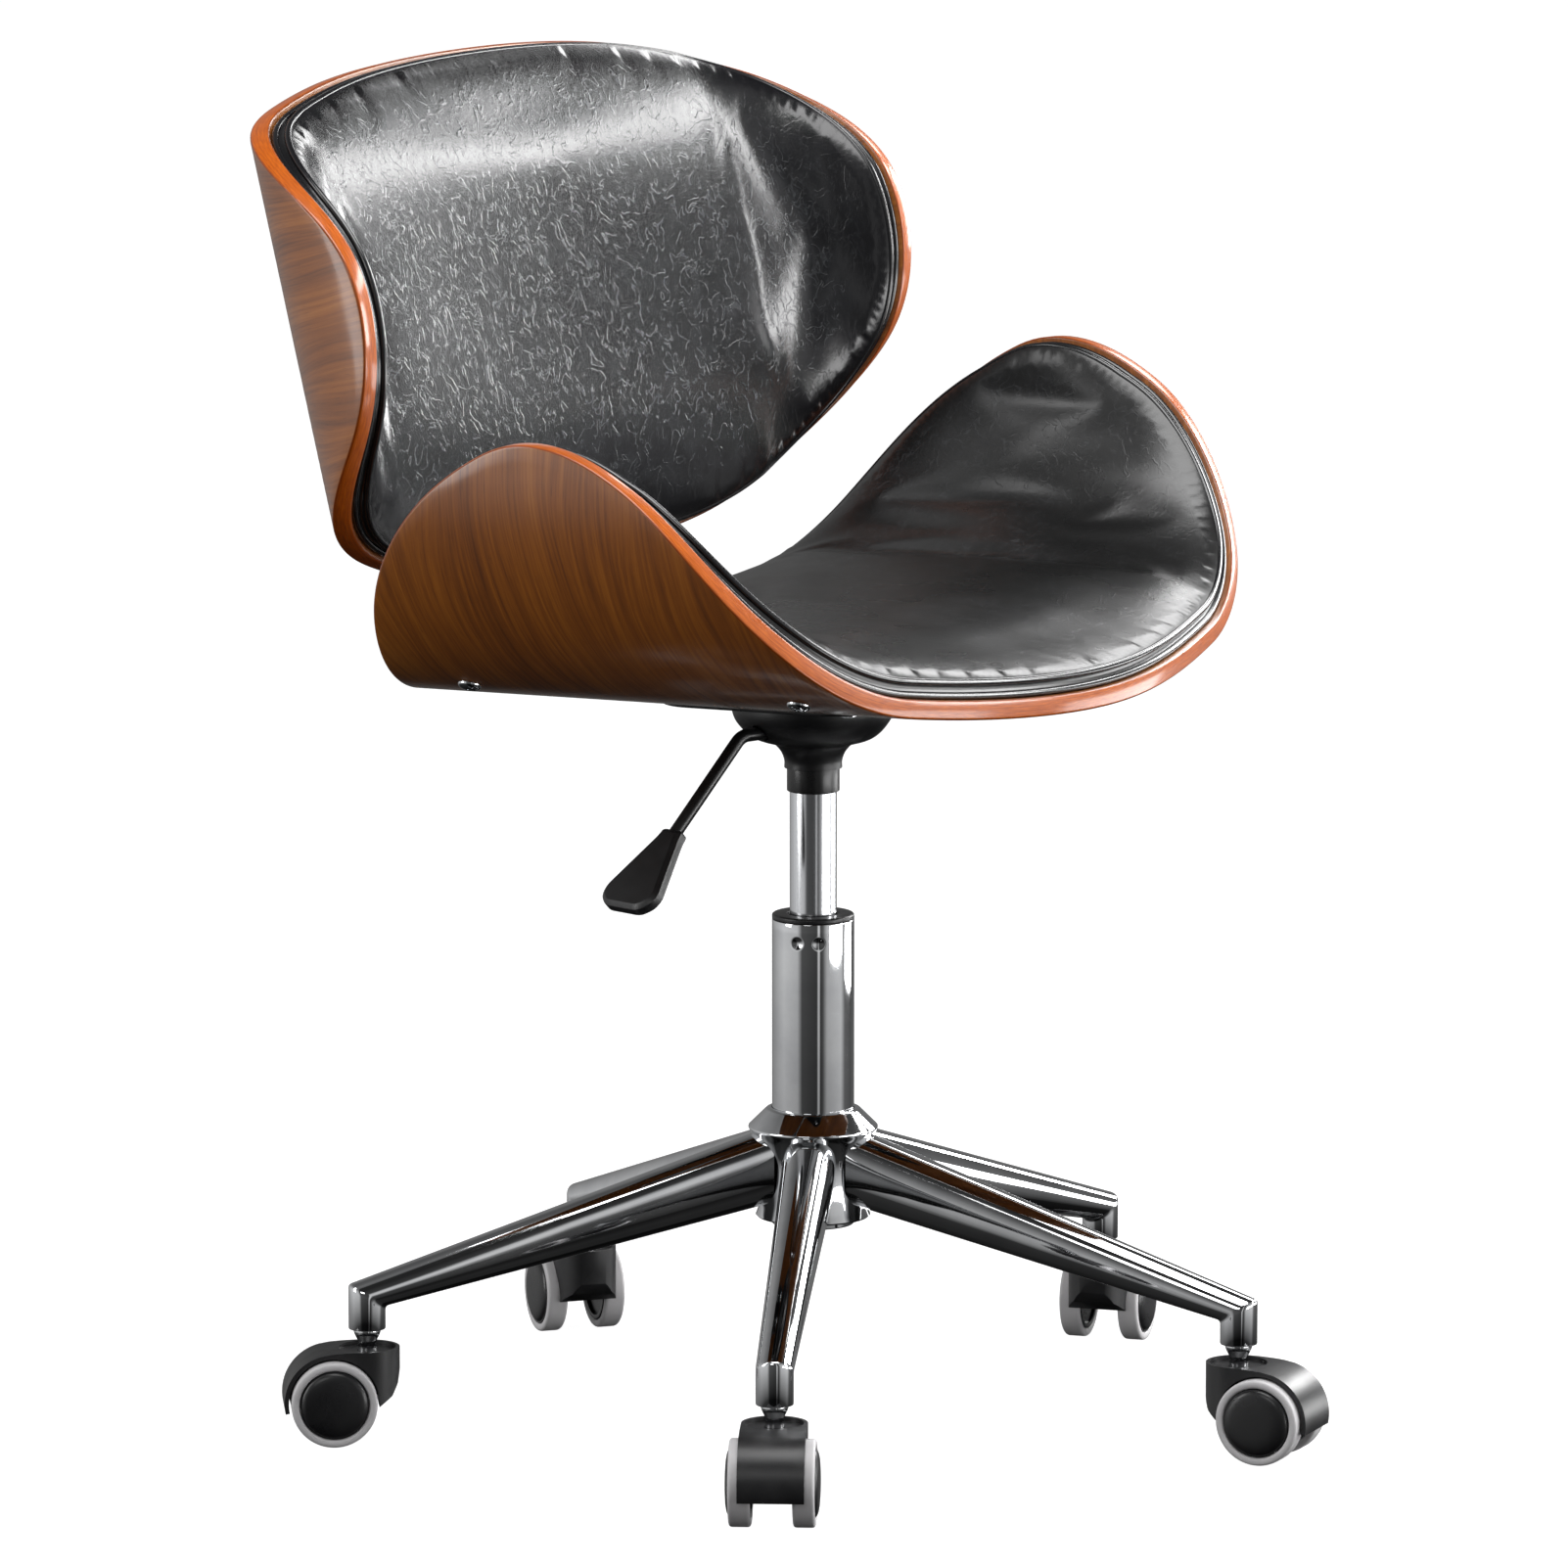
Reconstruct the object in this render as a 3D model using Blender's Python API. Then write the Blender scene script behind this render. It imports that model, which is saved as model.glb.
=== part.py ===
# Office chair: bent-plywood seat and back with leather cushions, on a gas lift and a
# five-leg chromed base with twin-wheel casters.
# Metres, +Z up, floor at Z = 0. The sitter faces -Y, and the lever is on the sitter's right, -X.

from math import asin, atan2, cos, pi, radians, sin, tan

import bmesh
import bpy
import numpy as np
from mathutils import Matrix, Vector

# Clearances
TOUCH_GAP = 0.0003          # between pieces that touch or are pressed together
RUNNING_GAP = 0.0003        # between a shaft and its bore
END_GAP = 0.0010            # past the end of a pin in its blind bore
LEVER_HOLE_GAP = 0.0010     # round the lever where it leaves the cover, so that it can rock
CUT_OVER = 0.0020           # how far a cutter runs past the face it cuts

# Where the column stands, so that the whole chair is centred on the origin
COLUMN_X = -0.0091
COLUMN_Y = 0.0134

SEAT_HEIGHT = 0.4409               # underside of the seat's shell above the column

# Base
LEG_COUNT = 5
FIRST_LEG_TURN = radians(9.2)      # from straight ahead, towards +X
BASE_RADIUS = 0.271                # column axis to a caster's stem
HUB_BOTTOM = 0.1225
HUB_TOP = 0.1885
HUB_BOTTOM_RADIUS = 0.0342
HUB_WAIST_RADIUS = 0.0290
HUB_WAIST_HEIGHT = 0.150
HUB_RIM_RADIUS = 0.0386
HUB_RIM_HEIGHT = 0.1770
HUB_RIM_THICKNESS = 0.0012
HUB_TOP_WALL = 0.0012
HUB_CURVE = 0.28                   # how much of the flare is left half-way to the waist
HUB_SOCKET_SHARE = 0.12            # how much of a leg's run its socket in the hub is cut for
LEG_ROOT_RADIUS = 0.0275           # how close to the column axis a leg reaches
LEG_ROOT_TOP = 0.1765
LEG_ROOT_BOTTOM = 0.1314
LEG_ROOT_WIDTH = 0.0320
LEG_SOCKET_RADIUS = 0.0110
LEG_SOCKET_BOTTOM = 0.0667
LEG_MITRE_HEIGHT = 0.0868          # on the socket's axis
LEG_MITRE_SLOPE = 0.61
LEG_SQUARENESS = 0.75              # 1 is an oval section, and less is squarer
STEM_BORE_DEPTH = 0.024

# Casters
CASTER_TURNS = (8.2, 105.0, 141.0, 216.9, 299.1)   # degrees, how each caster stands turned
CASTER_TRAIL = 0.0205
WHEEL_RADIUS = 0.0255
WHEEL_OFFSET = 0.0185              # middle of the caster to the middle of a tyre
TYRE_WIDTH = 0.0135
TYRE_THICKNESS = 0.0050
TYRE_EDGE = 0.0020
DISC_DOME = 0.0020
DISC_DOME_CURVE = ((0.88, 0.50), (0.50, 0.95))     # shares of the disc's radius and of the dome
DISC_INNER_RECESS = 0.0015
DISC_RIM_STEP = 0.0010
AXLE_RADIUS = 0.0030
AXLE_LENGTH = 0.0400
STEM_RADIUS = 0.0055
STEM_COLLAR_RADIUS = 0.0080
STEM_COLLAR_HEIGHT = 0.0030
STEM_COLLAR_EDGE = 0.0009
STEM_TIP = 0.0010
HOOD_WIDTH = 0.0385
HOOD_ARCH_RADIUS = 0.0268
HOOD_FENDER_RADIUS = 0.0294
HOOD_TOP = 0.0305                  # above the axle
HOOD_TAIL_DROP = 0.0060            # below the axle
HOOD_ARCH_START = radians(-6)      # in front of the axle, from level
HOOD_FENDER_END = radians(105)     # where the fender meets the hood's top
HOOD_SHOULDER = (0.0051, 0.0300)   # a point of the top, ahead of the axle and above it
HOOD_CROWN_START = 0.0147          # ahead of the axle, where the top becomes level
HOOD_CHIN = ((0.0, 0.0180), (0.0016, 0.0095), (0.0050, 0.0030))   # behind the front, above the axle
WEB_WIDTH = 0.0210
WEB_CORNER = radians(8)            # above level, where the web meets the hood
WEB_FLARE = radians(20)            # below level, where the web meets its boss
WEB_OVERLAP = 0.0010               # into the hood
AXLE_BOSS_RADIUS = 0.0065
RECESS_RADIUS = 0.0170
RECESS_DEPTH = 0.0025
HOUSING_BORE_DEPTH = 0.0130

# Column and gas lift
COLUMN_RADIUS = 0.0245
COLUMN_WALL = 0.0015
COLUMN_BOTTOM = 0.1180
COLUMN_TOP = 0.3021
COLUMN_FLOOR = 0.0030
BUSH_LENGTH = 0.080
BUSH_FLANGE = 0.0030
BUSH_ROUND = 0.0008
CYLINDER_RADIUS = 0.0140
CYLINDER_WALL = 0.0022
CYLINDER_LENGTH = 0.2150
CYLINDER_FLOOR = 0.0080
CYLINDER_HEAD = 0.0100             # between the cavity and the valve pin's bore
MECHANISM_DEPTH = 0.0309           # from the seat's underside down to the cylinder's top
CYLINDER_TOP = SEAT_HEIGHT - MECHANISM_DEPTH
CYLINDER_BOTTOM = CYLINDER_TOP - CYLINDER_LENGTH
TAPER_BOTTOM_RADIUS = 0.0136
TAPER_TOP_RADIUS = 0.0126
ROD_RADIUS = 0.0050
ROD_TOP = 0.2850
ROD_STUB = 0.0045                  # rod below the column's floor
ROD_SHOULDER_RADIUS = 0.0085
ROD_SHOULDER_HEIGHT = 0.0030
PISTON_RADIUS = 0.0115
PISTON_HEIGHT = 0.0180
PISTON_TIP = 0.0050
BEARING_HEIGHT = 0.0060
BEARING_RADIUS = 0.0100
VALVE_PIN_RADIUS = 0.0025
VALVE_PIN_LENGTH = 0.0250
VALVE_PIN_RISE = 0.0035            # above the cylinder's top
VALVE_BORE_DEPTH = 0.0280

# Mechanism under the seat
TAPER_LENGTH = 0.0310
COLLAR_BOTTOM = CYLINDER_TOP - TAPER_LENGTH
COLLAR_HEIGHT = 0.0137
COLLAR_RADIUS = 0.01565
SOCKET_TUBE_RADIUS = 0.0153
PLATE_WIDTH = 0.140
PLATE_LENGTH = 0.150
PLATE_CORNER = 0.030
PLATE_THICKNESS = 0.0055
COVER_WALL = 0.0016
COVER_RADIUS = 0.0490
COVER_BOWL = ((0.0164, 0.0042), (0.0195, 0.0114), (0.0231, 0.0152), (0.0332, 0.0179),
              (0.0395, 0.0221), (0.0458, 0.0300))  # middle of its wall: radius, above the collar
LEVER_TURN = radians(165.0)        # where the lever points, from +X round to +Y
LEVER_PIVOT_RADIUS = 0.0415
LEVER_ROD_RADIUS = 0.0040
LEVER_BEND = 0.0120
LEVER_SLOT_SIDE = 0.0008           # free on each side of the lever in the socket tube
LEVER_SLOT_LOW = 0.0006            # above the cylinder's top
LEVER_SLOT_HIGH = 0.0020           # free above the lever
LEVER_INNER_REACH = 0.0030         # past the column axis
LEVER_KNEE_RADIUS = 0.0580
LEVER_DROP = radians(44.5)
LEVER_LEG_LENGTH = 0.0960
PADDLE_START = 0.0735              # along the lever's sloping run
PADDLE_LENGTH = 0.0590
PADDLE_NECK_WIDTH = 0.0165
PADDLE_WIDTH = 0.0450
PADDLE_THICKNESS = 0.0095
PADDLE_SOFT = 0.0012
PADDLE_OUTLINE = ((0.10, 0.395), (0.78, 1.0), (0.90, 0.93), (1.0, 0.62))   # shares of length, half width

# Seat: a flat outline bent about a front-to-back axis, half of it, front middle to rear middle
SEAT_PITCH = radians(1.6)
PLY = 0.0115
SEAT_BELLY_HALF = 0.1740
SEAT_BELLY_RADIUS = 1.1400
SEAT_CORNER_ARC = 0.2080
SEAT_CORNER_RADIUS = 0.1516
SEAT_OUTLINE = ((0.0, 0.203), (0.158, 0.178), (0.281, 0.138), (0.379, 0.065),
                (0.397, -0.030), (0.287, -0.130), (0.0, -0.191))
SEAT_CUSHION_CROWN = 0.0300

# Back: the same, bent about an upright axis, top middle to bottom middle
BACK_FOOT_Y = 0.1880
BACK_FOOT_RISE = 0.0614            # above the seat's underside
BACK_FOOT_HEIGHT = SEAT_HEIGHT + BACK_FOOT_RISE
BACK_LEAN = radians(14.25)
BACK_BELLY_HALF = 0.2040
BACK_BELLY_RADIUS = 1.8000
BACK_CORNER_ARC = 0.1500
BACK_CORNER_RADIUS = 0.1096
BACK_OUTLINE = ((0.0, 0.3105), (0.160, 0.3000), (0.283, 0.262), (0.354, 0.189),
                (0.328, 0.090), (0.189, 0.015), (0.0, 0.0))
BACK_CUSHION_CROWN = 0.0280

# Cushions, both
CUSHION_MARGIN = 0.0030            # in from the plywood's edge
CUSHION_EDGE = 0.0120              # height of the sewn edge
PIPING = 0.0040
CUSHION_WAIST = 0.0025             # how far the edge draws in between its two pipings
CROWN_FLATNESS = 3.2
CROWN_SHOULDER = 0.75
CUSHION_FLOOR_RINGS = (0.15, 0.44, 0.55, 0.66, 0.77, 0.88)         # shares of the outline
CUSHION_TOP_RINGS = (0.95, 0.87, 0.77, 0.66, 0.55, 0.42, 0.15)

# Bracket that carries the back
BRACKET_WIDTH = 0.0600
BRACKET_THICKNESS = 0.0050
BRACKET_START = 0.0850             # behind the column, under the seat
BRACKET_RISER = 0.0105             # strip's middle behind the seat's rear edge
BRACKET_TOP = 0.1900               # up the back, from its foot
BRACKET_BEND = 0.0120

# Bolts low on the seat's sides
SIDE_BOLT_ARC = 0.2130             # across the flat outline, from its middle
SIDE_BOLT_REAR = -0.1030
SIDE_BOLT_FRONT = 0.1220
BOLT_RADIUS = 0.0030
BOLT_HEAD_RADIUS = 0.0062
BOLT_HEAD_HEIGHT = 0.0030

# How finely round shapes are cut
WHEEL_SIDES = 24
PIPE_SIDES = 12
COLUMN_SIDES = 28
LEG_SIDES = 20
SHELL_STATIONS = 26
OUTLINE_STEPS = 24
RING_POINTS = 48
RING_BEND_DENSITY = 1.8            # how much closer a cushion's points stand where it bends


# Scene and materials

def clear_scene():
    for obj in list(bpy.data.objects):
        bpy.data.objects.remove(obj, do_unlink=True)


def finish(name, colour, roughness, metallic):
    material = bpy.data.materials.new(name)
    material.use_nodes = True
    shader = material.node_tree.nodes["Principled BSDF"]
    shader.inputs["Base Color"].default_value = (*colour, 1.0)
    shader.inputs["Roughness"].default_value = roughness
    shader.inputs["Metallic"].default_value = metallic
    material.diffuse_color = (*colour, 1.0)
    return material


def empty(name, parent=None, location=(0, 0, 0), rotation=(0, 0, 0)):
    holder = bpy.data.objects.new(name, None)
    bpy.context.scene.collection.objects.link(holder)
    holder.parent = parent
    holder.location = location
    holder.rotation_euler = rotation
    return holder


def node(name, mesh, material, parent=None, location=(0, 0, 0), rotation=(0, 0, 0)):
    obj = bpy.data.objects.new(name, mesh)
    bpy.context.scene.collection.objects.link(obj)
    if not mesh.materials:
        mesh.materials.append(material)
    obj.parent = parent
    obj.location = location
    obj.rotation_euler = rotation
    return obj


# Mesh building

def mesh_from(bm, sharp_angle=radians(35)):
    bmesh.ops.remove_doubles(bm, verts=bm.verts, dist=1e-6)
    bmesh.ops.dissolve_degenerate(bm, edges=bm.edges, dist=1e-7)
    bmesh.ops.recalc_face_normals(bm, faces=bm.faces)
    mesh = bpy.data.meshes.new("shape")
    bm.to_mesh(mesh)
    bm.free()
    mesh.shade_smooth()
    mesh.set_sharp_from_angle(angle=sharp_angle)
    return mesh


def loft(rings, closed=False, start_cap=True, end_cap=True):
    """A skin through rings of as many points each; closed joins the last ring to the first."""
    bm = bmesh.new()
    rows = [[bm.verts.new(point) for point in ring] for ring in rings]
    pairs = list(zip(rows, rows[1:]))
    if closed:
        pairs.append((rows[-1], rows[0]))
    for low, high in pairs:
        count = len(low)
        for i in range(count):
            j = (i + 1) % count
            bm.faces.new((low[i], low[j], high[j], high[i]))
    if not closed:
        if start_cap:
            bm.faces.new(rows[0])
        if end_cap:
            bm.faces.new(rows[-1])
    return bm


def turned(profile, sides):
    """A solid of revolution about Z. A profile that starts and ends on the axis is closed there."""
    bm = bmesh.new()
    rows = []
    for radius, height in profile:
        if radius == 0:
            rows.append([bm.verts.new((0, 0, height))] * sides)
            continue
        angles = [(i + 0.5) * 2 * pi / sides for i in range(sides)]
        rows.append([bm.verts.new((radius * cos(a), radius * sin(a), height)) for a in angles])
    pairs = list(zip(rows, rows[1:]))
    if profile[0][0] > 0:
        pairs.append((rows[-1], rows[0]))
    for low, high in pairs:
        for i in range(sides):
            j = (i + 1) % sides
            corners = []
            for vert in (low[i], low[j], high[j], high[i]):
                if vert not in corners:
                    corners.append(vert)
            if len(corners) > 2:
                bm.faces.new(corners)
    return bm


def extruded(outline, low, high, place):
    """A flat outline pushed from one level to another; place turns (u, v, level) into a point."""
    rings = [[place(u, v, level) for u, v in outline] for level in (low, high)]
    return loft(rings)


def upright(u, v, level):
    return (u, v, level)


def arc(centre, radius, start, end, steps):
    turn = [start + (end - start) * i / steps for i in range(steps + 1)]
    return [(centre[0] + radius * cos(a), centre[1] + radius * sin(a)) for a in turn]


def thick_line(points, thickness):
    """An open line of flat points given a thickness, mitred, as one closed outline."""
    line = [Vector(p) for p in points]
    left, right = [], []
    for i, point in enumerate(line):
        before = (point - line[i - 1]).normalized() if i > 0 else None
        after = (line[i + 1] - point).normalized() if i + 1 < len(line) else None
        before = before or after
        after = after or before
        normal_before = Vector((-before.y, before.x))
        normal_after = Vector((-after.y, after.x))
        across = (normal_before + normal_after).normalized()
        across *= thickness / 2 / across.dot(normal_after)
        left.append(point + across)
        right.append(point - across)
    return [tuple(p) for p in left + right[::-1]]


def rounded_rectangle(width, length, corner, steps=6):
    x, y = width / 2 - corner, length / 2 - corner
    outline = []
    for quarter, (cx, cy) in enumerate(((x, y), (-x, y), (-x, -y), (x, -y))):
        outline += arc((cx, cy), corner, quarter * pi / 2, (quarter + 1) * pi / 2, steps)
    return outline


def pipe(points, radius, sides=PIPE_SIDES):
    """A round bar along points in the XZ plane, mitred where it bends."""
    path = [Vector((x, 0, z)) for x, z in points]
    rings = []
    for i, point in enumerate(path):
        before = (point - path[i - 1]).normalized() if i > 0 else None
        after = (path[i + 1] - point).normalized() if i + 1 < len(path) else None
        before = before or after
        after = after or before
        along = (before + after).normalized()
        stretch = 1 / along.dot(after)
        side = Vector((0, 1, 0))
        across = along.cross(side)
        rings.append([point + side * (radius * sin(a)) + across * (radius * cos(a) * stretch)
                      for a in (i * 2 * pi / sides for i in range(sides))])
    return loft(rings)


def combined(body, tools, operation="DIFFERENCE"):
    """The body's mesh with each tool's mesh taken out of it, or joined to it."""
    holder = node("body_in_work", mesh_from(body), None)
    helpers = []
    for tool in tools:
        helper = node("tool_in_work", mesh_from(tool), None)
        modifier = holder.modifiers.new("cut", "BOOLEAN")
        modifier.object = helper
        modifier.operation = operation
        modifier.solver = "EXACT"
        helpers.append(helper)
    bpy.context.view_layer.update()
    evaluated = holder.evaluated_get(bpy.context.evaluated_depsgraph_get())
    mesh = bpy.data.meshes.new_from_object(evaluated)
    for obj in [holder, *helpers]:
        bpy.data.objects.remove(obj, do_unlink=True)
    mesh.materials.clear()
    bm = bmesh.new()
    bm.from_mesh(mesh)
    bpy.data.meshes.remove(mesh)
    return bm


def moved(bm, matrix):
    bmesh.ops.transform(bm, matrix=matrix, verts=bm.verts)
    return bm


# Base

def leg_section(at, gap=0.0):
    """A ring of the leg, from 0 at its root to 1 at the mitre over the caster's stem."""
    root_middle = (LEG_ROOT_TOP + LEG_ROOT_BOTTOM) / 2
    root_half = (LEG_ROOT_TOP - LEG_ROOT_BOTTOM) / 2
    ring = []
    for i in range(LEG_SIDES):
        turn = (i + 0.5) * 2 * pi / LEG_SIDES
        across = abs(cos(turn)) ** LEG_SQUARENESS * (1 if cos(turn) > 0 else -1)
        upward = abs(sin(turn)) ** LEG_SQUARENESS * (1 if sin(turn) > 0 else -1)
        root = Vector((across * (LEG_ROOT_WIDTH / 2 + gap), -LEG_ROOT_RADIUS + gap,
                       root_middle + upward * (root_half + gap)))
        outward = LEG_SOCKET_RADIUS * -sin(turn)
        end = Vector((LEG_SOCKET_RADIUS * cos(turn), -BASE_RADIUS + outward,
                      LEG_MITRE_HEIGHT - LEG_MITRE_SLOPE * outward))
        ring.append(root.lerp(end, at))
    return ring


def leg_mesh():
    """A leg towards -Y: a straight taper to a mitre, and a round socket bored for the stem."""
    mitre = leg_section(1.0)
    bore = (STEM_RADIUS + RUNNING_GAP) / LEG_SOCKET_RADIUS

    def level_ring(height, scale):
        return [Vector((p.x * scale, -BASE_RADIUS + (p.y + BASE_RADIUS) * scale, height)) for p in mitre]

    return loft([
        leg_section(0.0), mitre, level_ring(LEG_SOCKET_BOTTOM, 1.0), level_ring(LEG_SOCKET_BOTTOM, bore),
        level_ring(LEG_SOCKET_BOTTOM + STEM_BORE_DEPTH, bore),
    ])


def hub_mesh():
    bore = COLUMN_RADIUS + TOUCH_GAP
    upper_half = (HUB_WAIST_HEIGHT + HUB_RIM_HEIGHT) / 2
    lower_half = (HUB_WAIST_HEIGHT + HUB_BOTTOM) / 2
    body = turned([
        (bore, HUB_BOTTOM),
        (HUB_BOTTOM_RADIUS, HUB_BOTTOM),
        (HUB_WAIST_RADIUS + HUB_CURVE * (HUB_BOTTOM_RADIUS - HUB_WAIST_RADIUS), lower_half),
        (HUB_WAIST_RADIUS, HUB_WAIST_HEIGHT),
        (HUB_WAIST_RADIUS + HUB_CURVE * (HUB_RIM_RADIUS - HUB_WAIST_RADIUS), upper_half),
        (HUB_RIM_RADIUS, HUB_RIM_HEIGHT - HUB_RIM_THICKNESS),
        (HUB_RIM_RADIUS, HUB_RIM_HEIGHT),
        (COLUMN_RADIUS + HUB_TOP_WALL, HUB_TOP),
        (bore, HUB_TOP),
    ], COLUMN_SIDES)
    sockets = []
    for turn in leg_turns():
        cutter = loft([leg_section(0.0, TOUCH_GAP), leg_section(HUB_SOCKET_SHARE, TOUCH_GAP)])
        sockets.append(moved(cutter, Matrix.Rotation(turn, 4, "Z")))
    return combined(body, sockets)


def leg_turns():
    return [FIRST_LEG_TURN + i * 2 * pi / LEG_COUNT for i in range(LEG_COUNT)]


def add_base(chair, chrome):
    node("base_hub", mesh_from(hub_mesh()), chrome, chair)
    leg = mesh_from(leg_mesh())
    for i, turn in enumerate(leg_turns()):
        node(f"base_leg_{i + 1}", leg, chrome, chair, rotation=(0, 0, turn))


# Casters. Each is made trailing towards -Y, with its stem on the Z axis.

def hood_outline():
    """The hood's side view, as (ahead of the axle, above the axle): the arch, then tail to chin."""
    tail = pi + asin(HOOD_TAIL_DROP / HOOD_FENDER_RADIUS)
    front = CASTER_TRAIL + HOOD_WIDTH / 2
    outline = arc((0, 0), HOOD_ARCH_RADIUS, HOOD_ARCH_START, tail, 22)
    outline += arc((0, 0), HOOD_FENDER_RADIUS, tail, HOOD_FENDER_END, 9)
    outline += [HOOD_SHOULDER, (HOOD_CROWN_START, HOOD_TOP), (front, HOOD_TOP)]
    return outline + [(front - back, above) for back, above in HOOD_CHIN]


def hood_plan():
    """The hood seen from above: round about the stem in front, straight back to the tail."""
    half = HOOD_WIDTH / 2
    back = CASTER_TRAIL + HOOD_FENDER_RADIUS + CUT_OVER
    return [(half, -back), *arc((0, 0), half, 0, pi, WHEEL_SIDES // 2), (-half, -back)]


def web_outline():
    """The plate between the two wheels, from the hood down to the boss round the axle."""
    top = arc((0, 0), HOOD_ARCH_RADIUS + WEB_OVERLAP, WEB_CORNER, pi - WEB_CORNER, 14)
    return top + arc((0, 0), AXLE_BOSS_RADIUS, pi + WEB_FLARE, 2 * pi - WEB_FLARE, 8)


def housing_mesh():
    def side(ahead, above, across):
        return (across, ahead - CASTER_TRAIL, above + WHEEL_RADIUS)

    half = HOOD_WIDTH / 2
    top = WHEEL_RADIUS + HOOD_TOP
    hood = extruded(hood_outline(), -half - CUT_OVER, half + CUT_OVER, side)
    hood = combined(hood, [extruded(hood_plan(), 0, top + CUT_OVER, upright)], "INTERSECT")
    web = extruded(web_outline(), -WEB_WIDTH / 2, WEB_WIDTH / 2, side)
    body = combined(hood, [web], "UNION")
    floor = top - RECESS_DEPTH
    recess = turned([(0, floor), (RECESS_RADIUS, floor), (RECESS_RADIUS, top + CUT_OVER),
                     (0, top + CUT_OVER)], WHEEL_SIDES)
    stem_bore = STEM_RADIUS + TOUCH_GAP
    bore = turned([(0, floor - HOUSING_BORE_DEPTH), (stem_bore, floor - HOUSING_BORE_DEPTH),
                   (stem_bore, top), (0, top)], PIPE_SIDES)
    axle_bore = turned([(0, -half), (AXLE_RADIUS + TOUCH_GAP, -half),
                        (AXLE_RADIUS + TOUCH_GAP, half), (0, half)], PIPE_SIDES)
    axle_place = Matrix.Translation((0, -CASTER_TRAIL, WHEEL_RADIUS)) @ Matrix.Rotation(pi / 2, 4, "Y")
    return combined(body, [recess, bore, moved(axle_bore, axle_place)])


def stem_mesh():
    floor = WHEEL_RADIUS + HOOD_TOP - RECESS_DEPTH
    low = floor - HOUSING_BORE_DEPTH + TOUCH_GAP
    collar_high = LEG_SOCKET_BOTTOM - TOUCH_GAP
    collar_low = collar_high - STEM_COLLAR_HEIGHT
    high = LEG_SOCKET_BOTTOM + STEM_BORE_DEPTH - END_GAP
    return turned([
        (0, low), (STEM_RADIUS, low), (STEM_RADIUS, collar_low),
        (STEM_COLLAR_RADIUS, collar_high - STEM_COLLAR_EDGE), (STEM_COLLAR_RADIUS, collar_high),
        (STEM_RADIUS, collar_high), (STEM_RADIUS, high - STEM_TIP), (STEM_RADIUS - STEM_TIP, high), (0, high),
    ], PIPE_SIDES)


def axle_mesh():
    half = AXLE_LENGTH / 2
    return turned([(0, -half), (AXLE_RADIUS, -half), (AXLE_RADIUS, half), (0, half)], PIPE_SIDES)


def tyre_mesh():
    """Turned about Z, which is the axle; the outer facets are WHEEL_RADIUS from it."""
    outer = WHEEL_RADIUS / cos(pi / WHEEL_SIDES)
    half = TYRE_WIDTH / 2
    inner = WHEEL_RADIUS - TYRE_THICKNESS
    return turned([
        (inner, -half), (outer - TYRE_EDGE, -half), (outer, -half + TYRE_EDGE),
        (outer, half - TYRE_EDGE), (outer - TYRE_EDGE, half), (inner, half),
    ], WHEEL_SIDES)


def wheel_mesh():
    """The disc inside the tyre, domed outside, with a blind bore for the axle."""
    half = TYRE_WIDTH / 2
    rim = WHEEL_RADIUS - TYRE_THICKNESS - TOUCH_GAP
    boss = AXLE_BOSS_RADIUS
    face = WEB_WIDTH / 2 + TOUCH_GAP - WHEEL_OFFSET
    bore = AXLE_RADIUS + RUNNING_GAP
    bore_end = AXLE_LENGTH / 2 - WHEEL_OFFSET + END_GAP
    dome = [(rim * share, half + DISC_DOME * rise) for share, rise in DISC_DOME_CURVE]
    return turned([
        (0, bore_end), (bore, bore_end), (bore, face), (boss, face), (boss, -half + DISC_INNER_RECESS),
        (rim, -half + DISC_RIM_STEP), (rim, half - DISC_RIM_STEP), *dome, (0, half + DISC_DOME),
    ], WHEEL_SIDES)


def add_casters(chair, chrome, steel, plastic, rubber):
    stem = mesh_from(stem_mesh())
    housing = mesh_from(housing_mesh())
    axle = mesh_from(axle_mesh())
    wheel = mesh_from(wheel_mesh())
    tyre = mesh_from(tyre_mesh())
    for i, turn in enumerate(leg_turns()):
        number = i + 1
        place = (BASE_RADIUS * sin(turn), -BASE_RADIUS * cos(turn), 0)
        caster = empty(f"caster_{number}", chair, place, (0, 0, radians(CASTER_TURNS[i])))
        node(f"caster_stem_{number}", stem, chrome, caster)
        node(f"caster_housing_{number}", housing, plastic, caster)
        axle_line = (0, -CASTER_TRAIL, WHEEL_RADIUS)
        node(f"caster_axle_{number}", axle, steel, caster, axle_line, (0, pi / 2, 0))
        for side, sign in (("left", 1), ("right", -1)):
            middle = (sign * WHEEL_OFFSET, -CASTER_TRAIL, WHEEL_RADIUS)
            hinge = empty(f"wheel_{number}_{side}", caster, middle, (0, sign * pi / 2, 0))
            node(f"wheel_disc_{number}_{side}", wheel, plastic, hinge)
            node(f"wheel_tyre_{number}_{side}", tyre, rubber, hinge)


# Column and gas lift

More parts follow.
